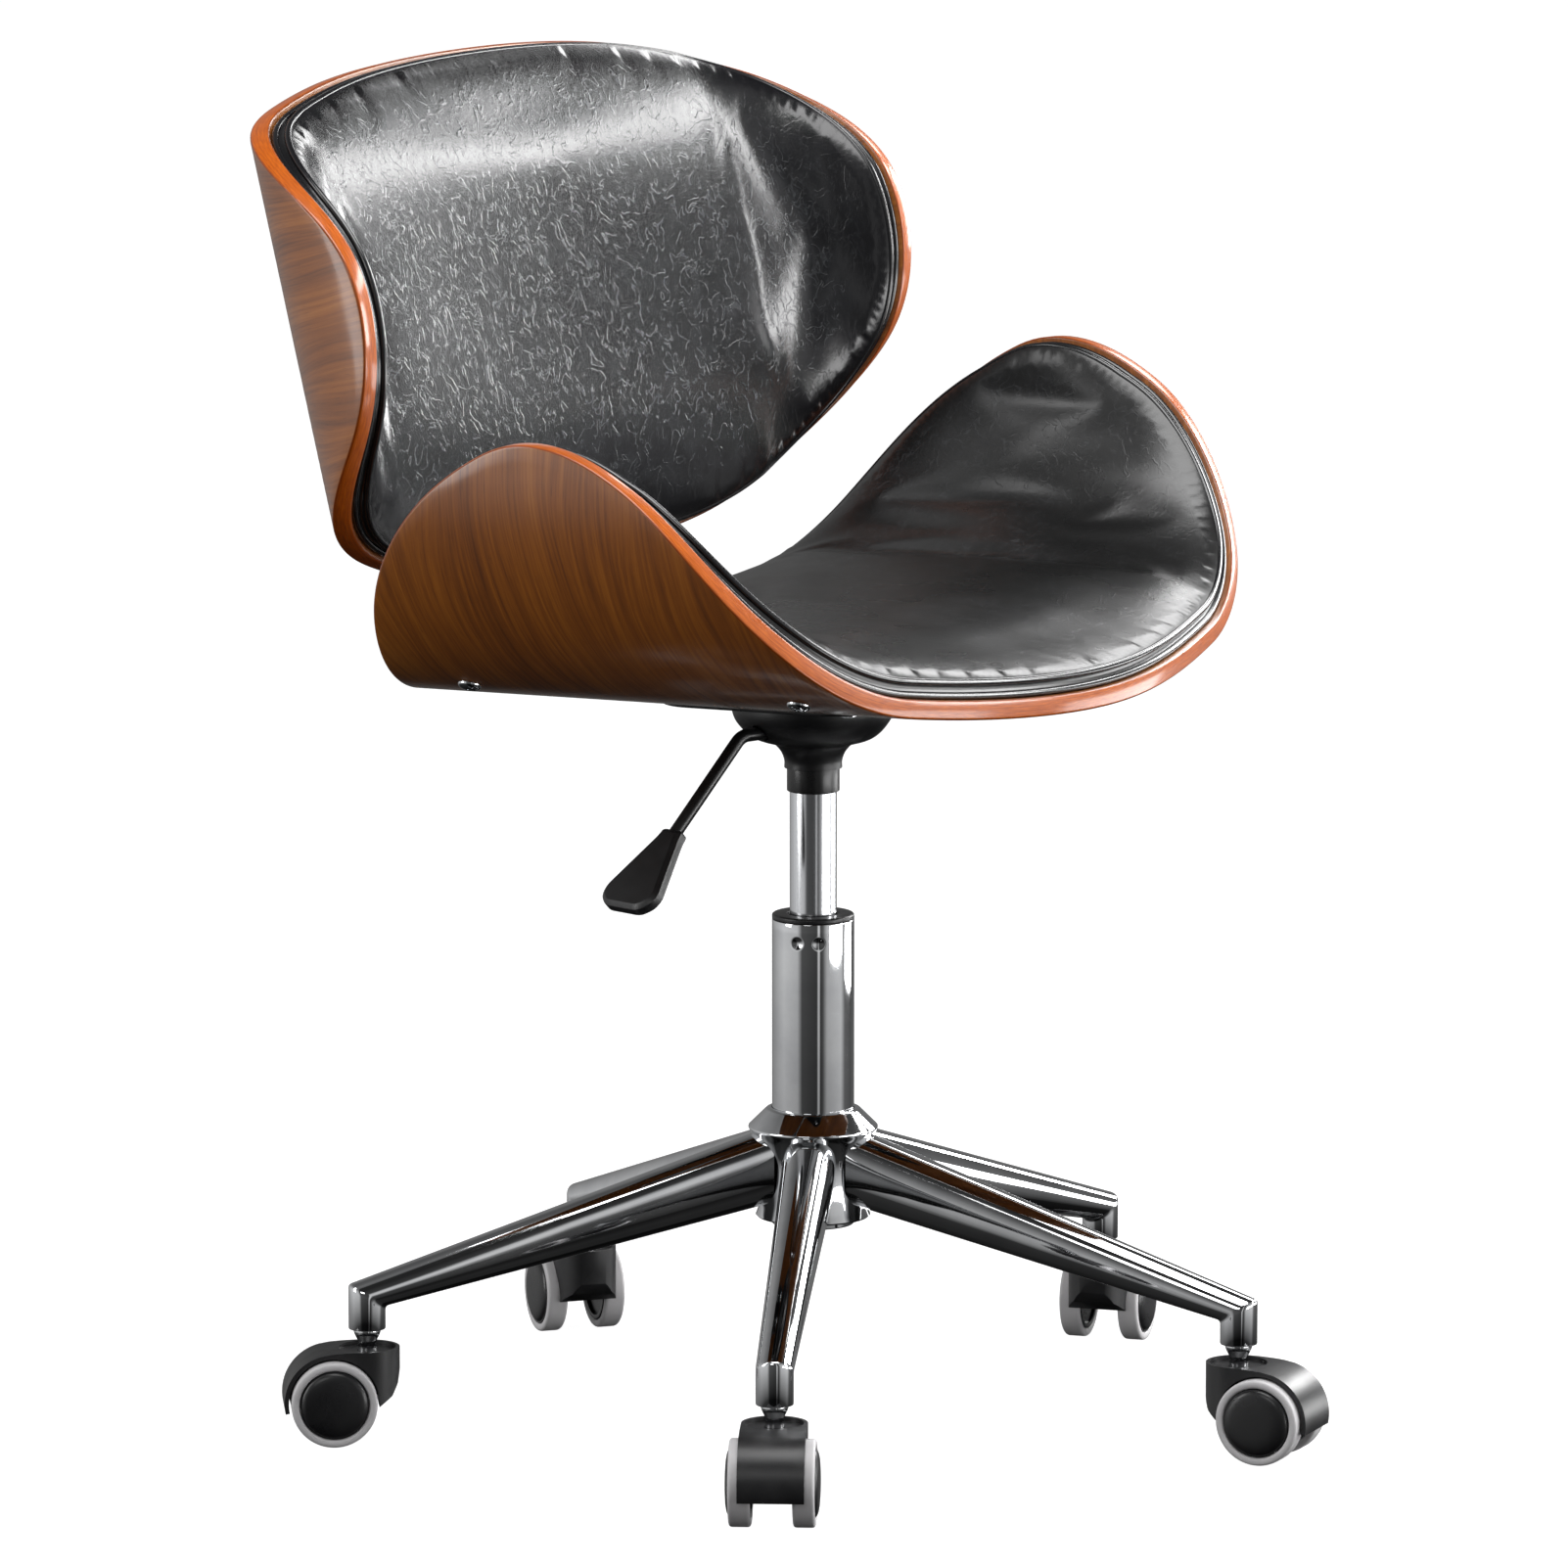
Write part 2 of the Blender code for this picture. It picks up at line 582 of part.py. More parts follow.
def add_lift(chair, chrome, steel, plastic):
    inside = COLUMN_RADIUS - COLUMN_WALL
    floor_top = COLUMN_BOTTOM + COLUMN_FLOOR
    rod_bore = ROD_RADIUS + RUNNING_GAP
    node("column_tube", mesh_from(turned([
        (rod_bore, COLUMN_BOTTOM), (COLUMN_RADIUS, COLUMN_BOTTOM), (COLUMN_RADIUS, COLUMN_TOP),
        (inside, COLUMN_TOP), (inside, floor_top), (rod_bore, floor_top),
    ], COLUMN_SIDES)), chrome, chair)

    bore = CYLINDER_RADIUS + RUNNING_GAP
    sleeve = inside - TOUCH_GAP
    flange_low = COLUMN_TOP + TOUCH_GAP
    flange_high = flange_low + BUSH_FLANGE
    bush_low = COLUMN_TOP - BUSH_LENGTH
    node("guide_bush", mesh_from(turned([
        (bore, bush_low), (sleeve, bush_low), (sleeve, flange_low), (COLUMN_RADIUS, flange_low),
        (COLUMN_RADIUS, flange_high - BUSH_ROUND), (COLUMN_RADIUS - BUSH_ROUND, flange_high),
        (bore, flange_high),
    ], COLUMN_SIDES)), plastic, chair)

    bearing_low = floor_top + TOUCH_GAP
    bearing_high = bearing_low + BEARING_HEIGHT
    node("thrust_bearing", mesh_from(turned([
        (rod_bore, bearing_low), (BEARING_RADIUS, bearing_low), (BEARING_RADIUS, bearing_high),
        (rod_bore, bearing_high),
    ], WHEEL_SIDES)), steel, chair)

    shoulder = bearing_high + TOUCH_GAP
    rod_end = COLUMN_BOTTOM - ROD_STUB
    piston_high = ROD_TOP - PISTON_TIP
    piston_low = piston_high - PISTON_HEIGHT
    node("piston_rod", mesh_from(turned([
        (0, rod_end), (ROD_RADIUS, rod_end), (ROD_RADIUS, shoulder), (ROD_SHOULDER_RADIUS, shoulder),
        (ROD_SHOULDER_RADIUS, shoulder + ROD_SHOULDER_HEIGHT), (ROD_RADIUS, shoulder + ROD_SHOULDER_HEIGHT),
        (ROD_RADIUS, piston_low), (PISTON_RADIUS, piston_low), (PISTON_RADIUS, piston_high),
        (ROD_RADIUS, piston_high), (ROD_RADIUS, ROD_TOP), (0, ROD_TOP),
    ], WHEEL_SIDES)), steel, chair)

    cavity = CYLINDER_RADIUS - CYLINDER_WALL
    cavity_low = CYLINDER_BOTTOM + CYLINDER_FLOOR
    pin_bore = VALVE_PIN_RADIUS + RUNNING_GAP
    bore_low = CYLINDER_TOP - VALVE_BORE_DEPTH
    cavity_top = bore_low - CYLINDER_HEAD
    node("gas_cylinder", mesh_from(turned([
        (0, cavity_top), (cavity, cavity_top), (cavity, cavity_low), (rod_bore, cavity_low),
        (rod_bore, CYLINDER_BOTTOM), (CYLINDER_RADIUS, CYLINDER_BOTTOM),
        (CYLINDER_RADIUS, COLLAR_BOTTOM - TOUCH_GAP), (TAPER_BOTTOM_RADIUS, COLLAR_BOTTOM),
        (TAPER_TOP_RADIUS, CYLINDER_TOP), (pin_bore, CYLINDER_TOP),
        (pin_bore, bore_low), (0, bore_low),
    ], COLUMN_SIDES)), steel, chair)

    pin_top = CYLINDER_TOP + VALVE_PIN_RISE
    pin_low = pin_top - VALVE_PIN_LENGTH
    node("valve_pin", mesh_from(turned([
        (0, pin_low), (VALVE_PIN_RADIUS, pin_low), (VALVE_PIN_RADIUS, pin_top), (0, pin_top),
    ], PIPE_SIDES)), steel, chair)


# Mechanism

def lever_height():
    return CYLINDER_TOP + VALVE_PIN_RISE + TOUCH_GAP + LEVER_ROD_RADIUS


def plate_mesh():
    """The plate under the seat and the tapered socket that grips the gas cylinder, one weldment."""
    low = -TOUCH_GAP - PLATE_THICKNESS
    outline = rounded_rectangle(PLATE_WIDTH, PLATE_LENGTH, PLATE_CORNER)
    plate = extruded(outline, low, -TOUCH_GAP, upright)
    moved(plate, seat_matrix())
    into_plate = SEAT_HEIGHT - TOUCH_GAP - PLATE_THICKNESS / 2
    taper_top = TAPER_TOP_RADIUS + TOUCH_GAP
    collar_top = COLLAR_BOTTOM + COLLAR_HEIGHT
    tube = turned([
        (TAPER_BOTTOM_RADIUS + TOUCH_GAP, COLLAR_BOTTOM), (COLLAR_RADIUS, COLLAR_BOTTOM),
        (COLLAR_RADIUS, collar_top), (SOCKET_TUBE_RADIUS, collar_top), (SOCKET_TUBE_RADIUS, into_plate),
        (taper_top, into_plate), (taper_top, CYLINDER_TOP + TOUCH_GAP),
    ], COLUMN_SIDES)
    body = combined(plate, [tube], "UNION")
    slot_half = LEVER_ROD_RADIUS + LEVER_SLOT_SIDE
    slot_low = CYLINDER_TOP + LEVER_SLOT_LOW
    slot_high = lever_height() + LEVER_ROD_RADIUS + LEVER_SLOT_HIGH
    outline = [(0, -slot_half), (COVER_RADIUS, -slot_half), (COVER_RADIUS, slot_half), (0, slot_half)]
    slot = extruded(outline, slot_low, slot_high, upright)
    return combined(body, [moved(slot, Matrix.Rotation(LEVER_TURN, 4, "Z"))])


def cover_mesh():
    """The bowl-shaped cover: a thin turned shell with a hole for the lever, trimmed by the plate."""
    collar_top = COLLAR_BOTTOM + COLLAR_HEIGHT + TOUCH_GAP
    neck = SOCKET_TUBE_RADIUS + TOUCH_GAP + COVER_WALL / 2
    middle = [(neck, collar_top), *((radius, collar_top + rise) for radius, rise in COVER_BOWL),
              (COVER_RADIUS - COVER_WALL / 2, SEAT_HEIGHT)]
    shell = turned(thick_line(middle, COVER_WALL), COLUMN_SIDES)
    low = -TOUCH_GAP * 2 - PLATE_THICKNESS
    trim = extruded(rounded_rectangle(PLATE_WIDTH, PLATE_LENGTH, PLATE_CORNER), low, PLATE_THICKNESS, upright)
    moved(trim, seat_matrix())
    hole = pipe([(LEVER_KNEE_RADIUS / 2, lever_height()), (LEVER_KNEE_RADIUS, lever_height())],
                LEVER_ROD_RADIUS + LEVER_HOLE_GAP)
    return combined(shell, [trim, moved(hole, Matrix.Rotation(LEVER_TURN, 4, "Z"))])


def lever_path():
    """The lever's middle line from its pivot, as (outward, upward)."""
    knee = LEVER_KNEE_RADIUS - LEVER_PIVOT_RADIUS
    bend_start = knee - LEVER_BEND * tan(LEVER_DROP / 2)
    bend = arc((bend_start, -LEVER_BEND), LEVER_BEND, pi / 2, pi / 2 - LEVER_DROP, 4)
    return [(-LEVER_PIVOT_RADIUS - LEVER_INNER_REACH, 0), *bend, along_lever(LEVER_LEG_LENGTH)]


def along_lever(distance):
    knee = LEVER_KNEE_RADIUS - LEVER_PIVOT_RADIUS
    return (knee + distance * cos(LEVER_DROP), -distance * sin(LEVER_DROP))


def paddle_mesh():
    wide = PADDLE_WIDTH / 2
    middle = PADDLE_LENGTH / 2
    side = [(0, PADDLE_NECK_WIDTH / 2)]
    side += [(share * PADDLE_LENGTH, wide * spread) for share, spread in PADDLE_OUTLINE]
    outline = [(u, -v) for u, v in side] + side[::-1]
    half = PADDLE_THICKNESS / 2
    rings = []
    for level, inset in ((-half, PADDLE_SOFT), (-half + PADDLE_SOFT, 0), (half - PADDLE_SOFT, 0),
                         (half, PADDLE_SOFT)):
        rings.append([(middle + (u - middle) * (1 - inset / middle), v * (1 - inset / wide), level)
                      for u, v in outline])
    start = along_lever(PADDLE_START)
    place = Matrix.Translation((start[0], 0, start[1])) @ Matrix.Rotation(LEVER_DROP, 4, "Y")
    paddle = moved(loft(rings), place)
    bore_from = along_lever(PADDLE_START - CUT_OVER)
    bore_to = along_lever(LEVER_LEG_LENGTH + TOUCH_GAP)
    return combined(paddle, [pipe([bore_from, bore_to], LEVER_ROD_RADIUS + TOUCH_GAP)])


def add_mechanism(chair, black_metal, plastic):
    node("mounting_plate", mesh_from(plate_mesh()), black_metal, chair)
    node("mechanism_cover", mesh_from(cover_mesh()), plastic, chair)
    pivot = (LEVER_PIVOT_RADIUS * cos(LEVER_TURN), LEVER_PIVOT_RADIUS * sin(LEVER_TURN), lever_height())
    lever = empty("lever", chair, pivot, (0, 0, LEVER_TURN))
    node("lever_rod", mesh_from(pipe(lever_path(), LEVER_ROD_RADIUS)), black_metal, lever)
    node("lever_paddle", mesh_from(paddle_mesh()), plastic, lever)


# Bent shells and their cushions

class BentSheet:
    """A flat outline bent into a U. arc is measured across the sheet from its middle, and along
    is measured on the straight lines of the bend; depth goes from the outer face inwards."""

    def __init__(self, outline, belly_half, belly_radius, corner_arc, corner_radius):
        self.outline = outline
        self.bends = ((belly_half, belly_radius), (corner_arc, corner_radius))
        self.curve = self.half_curve(OUTLINE_STEPS)
        self.tip = int(self.curve[:, 0].argmax())
        turns = np.arange(-SHELL_STATIONS, SHELL_STATIONS + 1) / SHELL_STATIONS * pi / 2
        self.stations = self.curve[self.tip, 0] * np.sin(turns)

    def half_curve(self, steps):
        """A smooth curve through the outline's points, level where it crosses the middle."""
        points = [np.array(p) for p in self.outline]
        mirrored = np.array((-1, 1))
        points = [points[1] * mirrored, *points, points[-2] * mirrored]
        curve = []
        for a, b, c, d in zip(points, points[1:], points[2:], points[3:]):
            for t in np.arange(steps) / steps:
                curve.append(0.5 * (2 * b + (c - a) * t + (2 * a - 5 * b + 4 * c - d) * t ** 2
                                    + (3 * b - a - 3 * c + d) * t ** 3))
        curve.append(points[-2])
        return np.array(curve)

    def section(self, across):
        """Sideways place, height and slope of the outer face at an arc length from the middle."""
        side = -1 if across < 0 else 1
        left = abs(across)
        x = height = slope = 0.0
        for length, radius in self.bends:
            step = min(left, length)
            turn = slope + step / radius
            x += radius * (sin(turn) - sin(slope))
            height += radius * (cos(slope) - cos(turn))
            slope = turn
            left -= step
        x += left * cos(slope)
        height += left * sin(slope)
        return side * x, height, side * slope

    def facet(self, across, depth):
        """The sheet is bent in flats from station to station: a place on them, and its slope."""
        i = min(max(int(np.searchsorted(self.stations, across)), 1), len(self.stations) - 1)
        low, high = self.stations[i - 1], self.stations[i]
        share = (across - low) / (high - low)
        ends = []
        for station in (low, high):
            x, height, slope = self.section(station)
            ends.append(Vector((x - depth * sin(slope), height + depth * cos(slope))))
        run = ends[1] - ends[0]
        x, height = ends[0] + run * share
        return x, height, atan2(run.y, run.x)

    def point(self, across, along, depth):
        x, height, _ = self.facet(across, depth)
        return (x, along, height)

    def shell(self, thickness):
        bm = bmesh.new()
        rows = []
        first, last = self.curve[:self.tip + 1], self.curve[self.tip:][::-1]
        for across in self.stations:
            far = float(np.interp(abs(across), first[:, 0], first[:, 1]))
            near = float(np.interp(abs(across), last[:, 0], last[:, 1]))
            corners = ((far, 0), (far, thickness), (near, thickness), (near, 0))
            rows.append([bm.verts.new(self.point(across, along, depth)) for along, depth in corners])
        for low, high in zip(rows, rows[1:]):
            for i in range(4):
                j = (i + 1) % 4
                bm.faces.new((low[i], low[j], high[j], high[i]))
        bm.faces.new(rows[0])
        bm.faces.new(rows[-1])
        return bm

    def ring(self, inset, scale, depth):
        """Points round the outline, drawn in from it and then scaled about its middle. They stand
        closer together where the sheet bends most."""
        whole = np.vstack([self.curve, self.curve[-2:0:-1] * (-1, 1)])
        before, after = np.roll(whole, 1, axis=0), np.roll(whole, -1, axis=0)
        tangent = after - before
        length = np.hypot(tangent[:, 0], tangent[:, 1])
        normal = np.stack([-tangent[:, 1], tangent[:, 0]], axis=1) / length[:, None]
        centre = np.array((0.0, (self.outline[0][1] + self.outline[-1][1]) / 2))
        outward = np.sign(((whole - centre) * normal).sum())
        drawn = whole - normal * outward * inset
        steps = np.hypot(*(np.roll(drawn, -1, axis=0) - drawn).T)
        belly, corner = self.bends[0][0], self.bends[1][0]
        bent = (abs(drawn[:, 0]) > belly) & (abs(drawn[:, 0]) < belly + corner)
        walked = np.concatenate([[0], np.cumsum(steps * np.where(bent, RING_BEND_DENSITY, 1.0))])
        closed = np.vstack([drawn, drawn[:1]])
        wanted = np.arange(RING_POINTS) * walked[-1] / RING_POINTS
        across = np.interp(wanted, walked, closed[:, 0])
        along = np.interp(wanted, walked, closed[:, 1])
        spread = np.stack([across, along], axis=1)
        spread = centre + (spread - centre) * scale
        return [self.point(a, b, depth) for a, b in spread]

    def cushion(self, thickness, crown):
        """A pad on the inner face: two pipings with a drawn-in edge between them, and a crown."""
        floor = thickness + TOUCH_GAP
        soft = CUSHION_MARGIN + PIPING / 2
        rings = [self.ring(soft, scale, floor) for scale in CUSHION_FLOOR_RINGS]
        edge = ((soft, 0.0), (CUSHION_MARGIN, PIPING / 2),
                (CUSHION_MARGIN + CUSHION_WAIST, CUSHION_EDGE / 2),
                (CUSHION_MARGIN, CUSHION_EDGE - PIPING / 2), (soft, CUSHION_EDGE))
        rings += [self.ring(inset, 1.0, floor + height) for inset, height in edge]
        for scale in CUSHION_TOP_RINGS:
            rise = (crown - CUSHION_EDGE) * (1 - scale ** CROWN_FLATNESS) ** CROWN_SHOULDER
            rings.append(self.ring(soft, scale, floor + CUSHION_EDGE + rise))
        return loft(rings)


def seat_sheet():
    return BentSheet(SEAT_OUTLINE, SEAT_BELLY_HALF, SEAT_BELLY_RADIUS, SEAT_CORNER_ARC, SEAT_CORNER_RADIUS)


def back_sheet():
    return BentSheet(BACK_OUTLINE, BACK_BELLY_HALF, BACK_BELLY_RADIUS, BACK_CORNER_ARC, BACK_CORNER_RADIUS)


def seat_matrix():
    """From the seat's own frame, underside at its origin, to the column's frame."""
    return Matrix.Translation((0, 0, SEAT_HEIGHT)) @ Matrix.Rotation(-SEAT_PITCH, 4, "X")


def seat_axes():
    """The sheet runs forward, which is -Y, and its depth goes up."""
    return Matrix.Scale(-1, 4, (0, 1, 0))


def back_axes():
    """The sheet runs up, and its depth goes forward."""
    return Matrix(((1, 0, 0, 0), (0, 0, -1, 0), (0, 1, 0, 0), (0, 0, 0, 1)))


def bolt_mesh():
    """A domed bolt pointing up its own Z axis, its head's underside at the origin."""
    grip = PLY - END_GAP
    return turned([
        (0, grip), (BOLT_RADIUS, grip), (BOLT_RADIUS, -TOUCH_GAP), (BOLT_HEAD_RADIUS, -TOUCH_GAP),
        (BOLT_HEAD_RADIUS * 0.92, -BOLT_HEAD_HEIGHT * 0.45), (BOLT_HEAD_RADIUS * 0.6, -BOLT_HEAD_HEIGHT * 0.87),
        (0, -BOLT_HEAD_HEIGHT),
    ], PIPE_SIDES)


def bolt_places():
    """Where the side bolts cross the outer face, in the seat's frame, pointing inwards."""
    sheet = seat_sheet()
    places = []
    for label, along in (("rear", SIDE_BOLT_REAR), ("front", SIDE_BOLT_FRONT)):
        for side, sign in (("left", 1), ("right", -1)):
            x, height, slope = sheet.facet(sign * SIDE_BOLT_ARC, 0)
            place = Matrix.Translation((x, -along, height)) @ Matrix.Rotation(-slope, 4, "Y")
            places.append((f"side_bolt_{label}_{side}", place))
    return places


def seat_shell_mesh():
    shell = moved(seat_sheet().shell(PLY), seat_axes())
    bore = BOLT_RADIUS + TOUCH_GAP
    high = PLY + CUT_OVER
    holes = []
    for _, place in bolt_places():
        hole = turned([(0, -CUT_OVER), (bore, -CUT_OVER), (bore, high), (0, high)], PIPE_SIDES)
        holes.append(moved(hole, place))
    return combined(shell, holes)


def add_seat(chair, walnut, leather, chrome):
    seat = empty("seat", chair, (0, 0, SEAT_HEIGHT), (-SEAT_PITCH, 0, 0))
    node("seat_shell", mesh_from(seat_shell_mesh()), walnut, seat)
    cushion = moved(seat_sheet().cushion(PLY, SEAT_CUSHION_CROWN), seat_axes())
    node("seat_cushion", mesh_from(cushion), leather, seat)
    bolt = mesh_from(bolt_mesh())
    for name, place in bolt_places():
        obj = node(name, bolt, chrome, seat)
        obj.matrix_local = place


def add_back(chair, walnut, leather):
    back = empty("back", chair, (0, BACK_FOOT_Y, BACK_FOOT_HEIGHT), (-BACK_LEAN, 0, 0))
    node("back_shell", mesh_from(moved(back_sheet().shell(PLY), back_axes())), walnut, back)
    cushion = moved(back_sheet().cushion(PLY, BACK_CUSHION_CROWN), back_axes())
    node("back_cushion", mesh_from(cushion), leather, back)


def bracket_mesh():
    """A bent strip from under the seat, round its rear edge and up the back's outer face."""
    off = TOUCH_GAP + BRACKET_THICKNESS / 2
    seat_rear = -SEAT_OUTLINE[-1][1] * cos(SEAT_PITCH)
    riser = seat_rear + BRACKET_RISER

    def under_seat(y):
        return SEAT_HEIGHT - y * tan(SEAT_PITCH) - off / cos(SEAT_PITCH)

    def behind_back(up):
        return (BACK_FOOT_Y + up * sin(BACK_LEAN) + off * cos(BACK_LEAN),
                BACK_FOOT_HEIGHT + up * cos(BACK_LEAN) - off * sin(BACK_LEAN))

    corner = (riser - BRACKET_BEND, under_seat(riser) + BRACKET_BEND)
    bend = arc(corner, BRACKET_BEND, -pi / 2, 0, 5)
    knee_up = (riser - BACK_FOOT_Y - off / cos(BACK_LEAN)) / tan(BACK_LEAN)
    knee = (riser, BACK_FOOT_HEIGHT + knee_up)
    line = [(BRACKET_START, under_seat(BRACKET_START)), *bend, knee, behind_back(BRACKET_TOP)]
    half = BRACKET_WIDTH / 2
    return extruded(thick_line(line, BRACKET_THICKNESS), -half, half, lambda y, z, x: (x, y, z))


def build_chair():
    clear_scene()
    chrome = finish("polished_chrome", (0.80, 0.80, 0.82), 0.08, 1.0)
    steel = finish("satin_steel", (0.62, 0.62, 0.64), 0.25, 1.0)
    plastic = finish("black_plastic", (0.018, 0.018, 0.020), 0.45, 0.0)
    black_metal = finish("black_metal", (0.012, 0.012, 0.013), 0.35, 0.3)
    rubber = finish("grey_tyre", (0.48, 0.48, 0.50), 0.55, 0.0)
    walnut = finish("walnut_plywood", (0.20, 0.075, 0.030), 0.28, 0.0)
    leather = finish("black_leather", (0.014, 0.014, 0.016), 0.30, 0.0)

    chair = empty("chair", None, (COLUMN_X, COLUMN_Y, 0))
    add_base(chair, chrome)
    add_casters(chair, chrome, steel, plastic, rubber)
    add_lift(chair, chrome, steel, plastic)
    add_mechanism(chair, black_metal, plastic)
    add_seat(chair, walnut, leather, chrome)
    add_back(chair, walnut, leather)
    node("back_bracket", mesh_from(bracket_mesh()), black_metal, chair)
    bpy.context.view_layer.update()


build_chair()
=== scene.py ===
from math import atan2, copysign, cos, hypot, pi, radians, sin, sqrt, tan

import bmesh
import bpy
import numpy as np
from mathutils import Matrix, Vector


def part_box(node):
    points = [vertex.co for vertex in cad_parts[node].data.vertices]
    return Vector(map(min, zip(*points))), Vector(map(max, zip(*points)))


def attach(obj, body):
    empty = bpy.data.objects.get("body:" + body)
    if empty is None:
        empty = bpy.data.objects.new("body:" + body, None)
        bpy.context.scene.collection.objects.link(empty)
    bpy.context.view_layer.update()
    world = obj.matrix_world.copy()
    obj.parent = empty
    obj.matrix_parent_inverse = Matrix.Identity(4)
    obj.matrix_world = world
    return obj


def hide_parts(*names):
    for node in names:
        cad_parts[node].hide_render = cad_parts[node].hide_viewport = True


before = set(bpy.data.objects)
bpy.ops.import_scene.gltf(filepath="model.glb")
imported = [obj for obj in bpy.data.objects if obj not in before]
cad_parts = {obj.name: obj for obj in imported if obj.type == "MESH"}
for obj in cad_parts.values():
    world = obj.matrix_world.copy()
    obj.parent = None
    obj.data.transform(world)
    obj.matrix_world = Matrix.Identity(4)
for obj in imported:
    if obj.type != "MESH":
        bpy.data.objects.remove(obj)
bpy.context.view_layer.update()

scene = bpy.context.scene
gap = 0.0003  # between pieces that touch, as in the solids
shell = {"ply": 0.0115, "veneer": 0.0023, "edge": 0.0016, "around": 360, "inwards": 44}


def boxMiddle(node):
    low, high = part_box(node)
    return Vector([(a + b) / 2 for a, b in zip(low, high)])


column = boxMiddle("column_tube")
chairPlace = Matrix.Translation((column.x, column.y, 0))
print("frame loaded,", len(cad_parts), "solids")


# Shader building

class Wire:  # one output of a node, which can be used in sums
    def __init__(self, board, socket):
        self.board = board
        self.socket = socket

    def combine(self, operation, *values):
        return self.board.node("ShaderNodeMath", {"operation": operation}, dict(enumerate(values)))

    def __add__(self, other):
        return self.combine("ADD", self, other)

    def __sub__(self, other):
        return self.combine("SUBTRACT", self, other)

    def __rsub__(self, other):
        return self.combine("SUBTRACT", other, self)

    def __mul__(self, other):
        return self.combine("MULTIPLY", self, other)

    def __abs__(self):
        return self.combine("ABSOLUTE", self)

    __radd__ = __add__
    __rmul__ = __mul__


class Board:  # a node tree and what its nodes are made with
    def __init__(self, tree, shader):
        self.tree = tree
        self.shader = tree.nodes[shader]

    def feed(self, socket, value):
        if isinstance(value, Wire):
            self.tree.links.new(value.socket, socket)
        elif isinstance(value, tuple) and socket.type == "RGBA":
            socket.default_value = (*value, 1.0)
        else:
            socket.default_value = value

    def node(self, kind, settings=None, inputs=None, output=0):
        made = self.tree.nodes.new(kind)
        for key, value in (settings or {}).items():
            if key == "stops":
                while len(made.color_ramp.elements) < len(value):
                    made.color_ramp.elements.new(0.5)
                for stop, (place, colour) in zip(made.color_ramp.elements, value):
                    stop.position = place
                    stop.color = (*colour, 1.0)
            else:
                setattr(made, key, value)
        for key, value in (inputs or {}).items():
            self.feed(made.inputs[key], value)
        return Wire(self, made.outputs[output])

    def place(self, attribute=None):  # where a point lies: on the flat sheet, or in the chair's own space
        if attribute:
            return self.node("ShaderNodeAttribute", {"attribute_name": attribute}, output="Vector")
        return self.node("ShaderNodeTexCoord", output="Object")

    def vector(self, operation, first, second, output=0):
        return self.node("ShaderNodeVectorMath", {"operation": operation}, {0: first, 1: second}, output)

    def stretched(self, vector, scale):
        return self.vector("MULTIPLY", vector, scale)

    def shifted(self, vector, other):
        return self.vector("ADD", vector, other)

    def noise(self, vector, scale, detail=2.0, roughness=0.5, distortion=0.0, output="Fac"):
        return self.node("ShaderNodeTexNoise", {}, {
            "Vector": vector, "Scale": scale, "Detail": detail, "Roughness": roughness,
            "Distortion": distortion}, output)

    def step(self, value, low, high, start=0.0, end=1.0):
        return self.node("ShaderNodeMapRange", {"interpolation_type": "SMOOTHSTEP"}, {
            "Value": value, "From Min": low, "From Max": high, "To Min": start, "To Max": end})

    def ramp(self, value, stops):
        return self.node("ShaderNodeValToRGB", {"stops": stops}, {"Fac": value})

    def mix(self, share, first, second, blend="MIX"):
        return self.node("ShaderNodeMix", {"data_type": "RGBA", "blend_type": blend},
                         {0: share, 6: first, 7: second}, output=2)

    def bump(self, height, distance, strength):
        return self.node("ShaderNodeBump", {}, {"Height": height, "Distance": distance, "Strength": strength})

    def paint(self, **sockets):
        for key, value in sockets.items():
            self.feed(self.shader.inputs[key.replace("_", " ")], value)


class Surface(Board):  # a material of its own
    def __init__(self, name, **sockets):
        self.material = bpy.data.materials.new(name)
        self.material.use_nodes = True
        super().__init__(self.material.node_tree, "Principled BSDF")
        self.paint(**sockets)


def chromeFinish():
    board = Surface("polishedChrome", Metallic=1.0)
    place = board.place()
    handled = board.noise(place, 26.0, 4.0, 0.6)      # faint wiping marks
    specks = board.step(board.noise(place, 900.0, 2.0), 0.66, 0.80)
    board.paint(Base_Color=board.ramp(handled, [(0.3, (0.66, 0.67, 0.69)), (0.7, (0.80, 0.81, 0.82))]),
                Roughness=board.step(handled, 0.35, 0.75, 0.035, 0.075) + specks * 0.05,
                Normal=board.bump(board.noise(place, 14.0, 2.0), 0.0010, 0.10))
    return board.material


def satinFinish():
    board = Surface("satinSteel", Metallic=1.0)
    place = board.place()
    drawn = board.noise(board.stretched(place, (600.0, 600.0, 6.0)), 1.0, 3.0, 0.6)   # lines along the rod
    board.paint(Base_Color=board.ramp(drawn, [(0.3, (0.62, 0.63, 0.65)), (0.7, (0.72, 0.73, 0.75))]),
                Roughness=board.step(drawn, 0.3, 0.7, 0.12, 0.19))
    return board.material


def mouldedFinish(name, dark, light, rough, grain):
    board = Surface(name)
    place = board.place()
    texture = board.noise(place, grain, 3.0, 0.6)
    wear = board.noise(place, 40.0, 3.0, 0.6)
    board.paint(Base_Color=board.ramp(wear, [(0.3, dark), (0.75, light)]),
                Roughness=board.step(wear, 0.3, 0.75, rough - 0.05, rough + 0.06),
                Normal=board.bump(texture, 0.00006, 0.55))
    return board.material


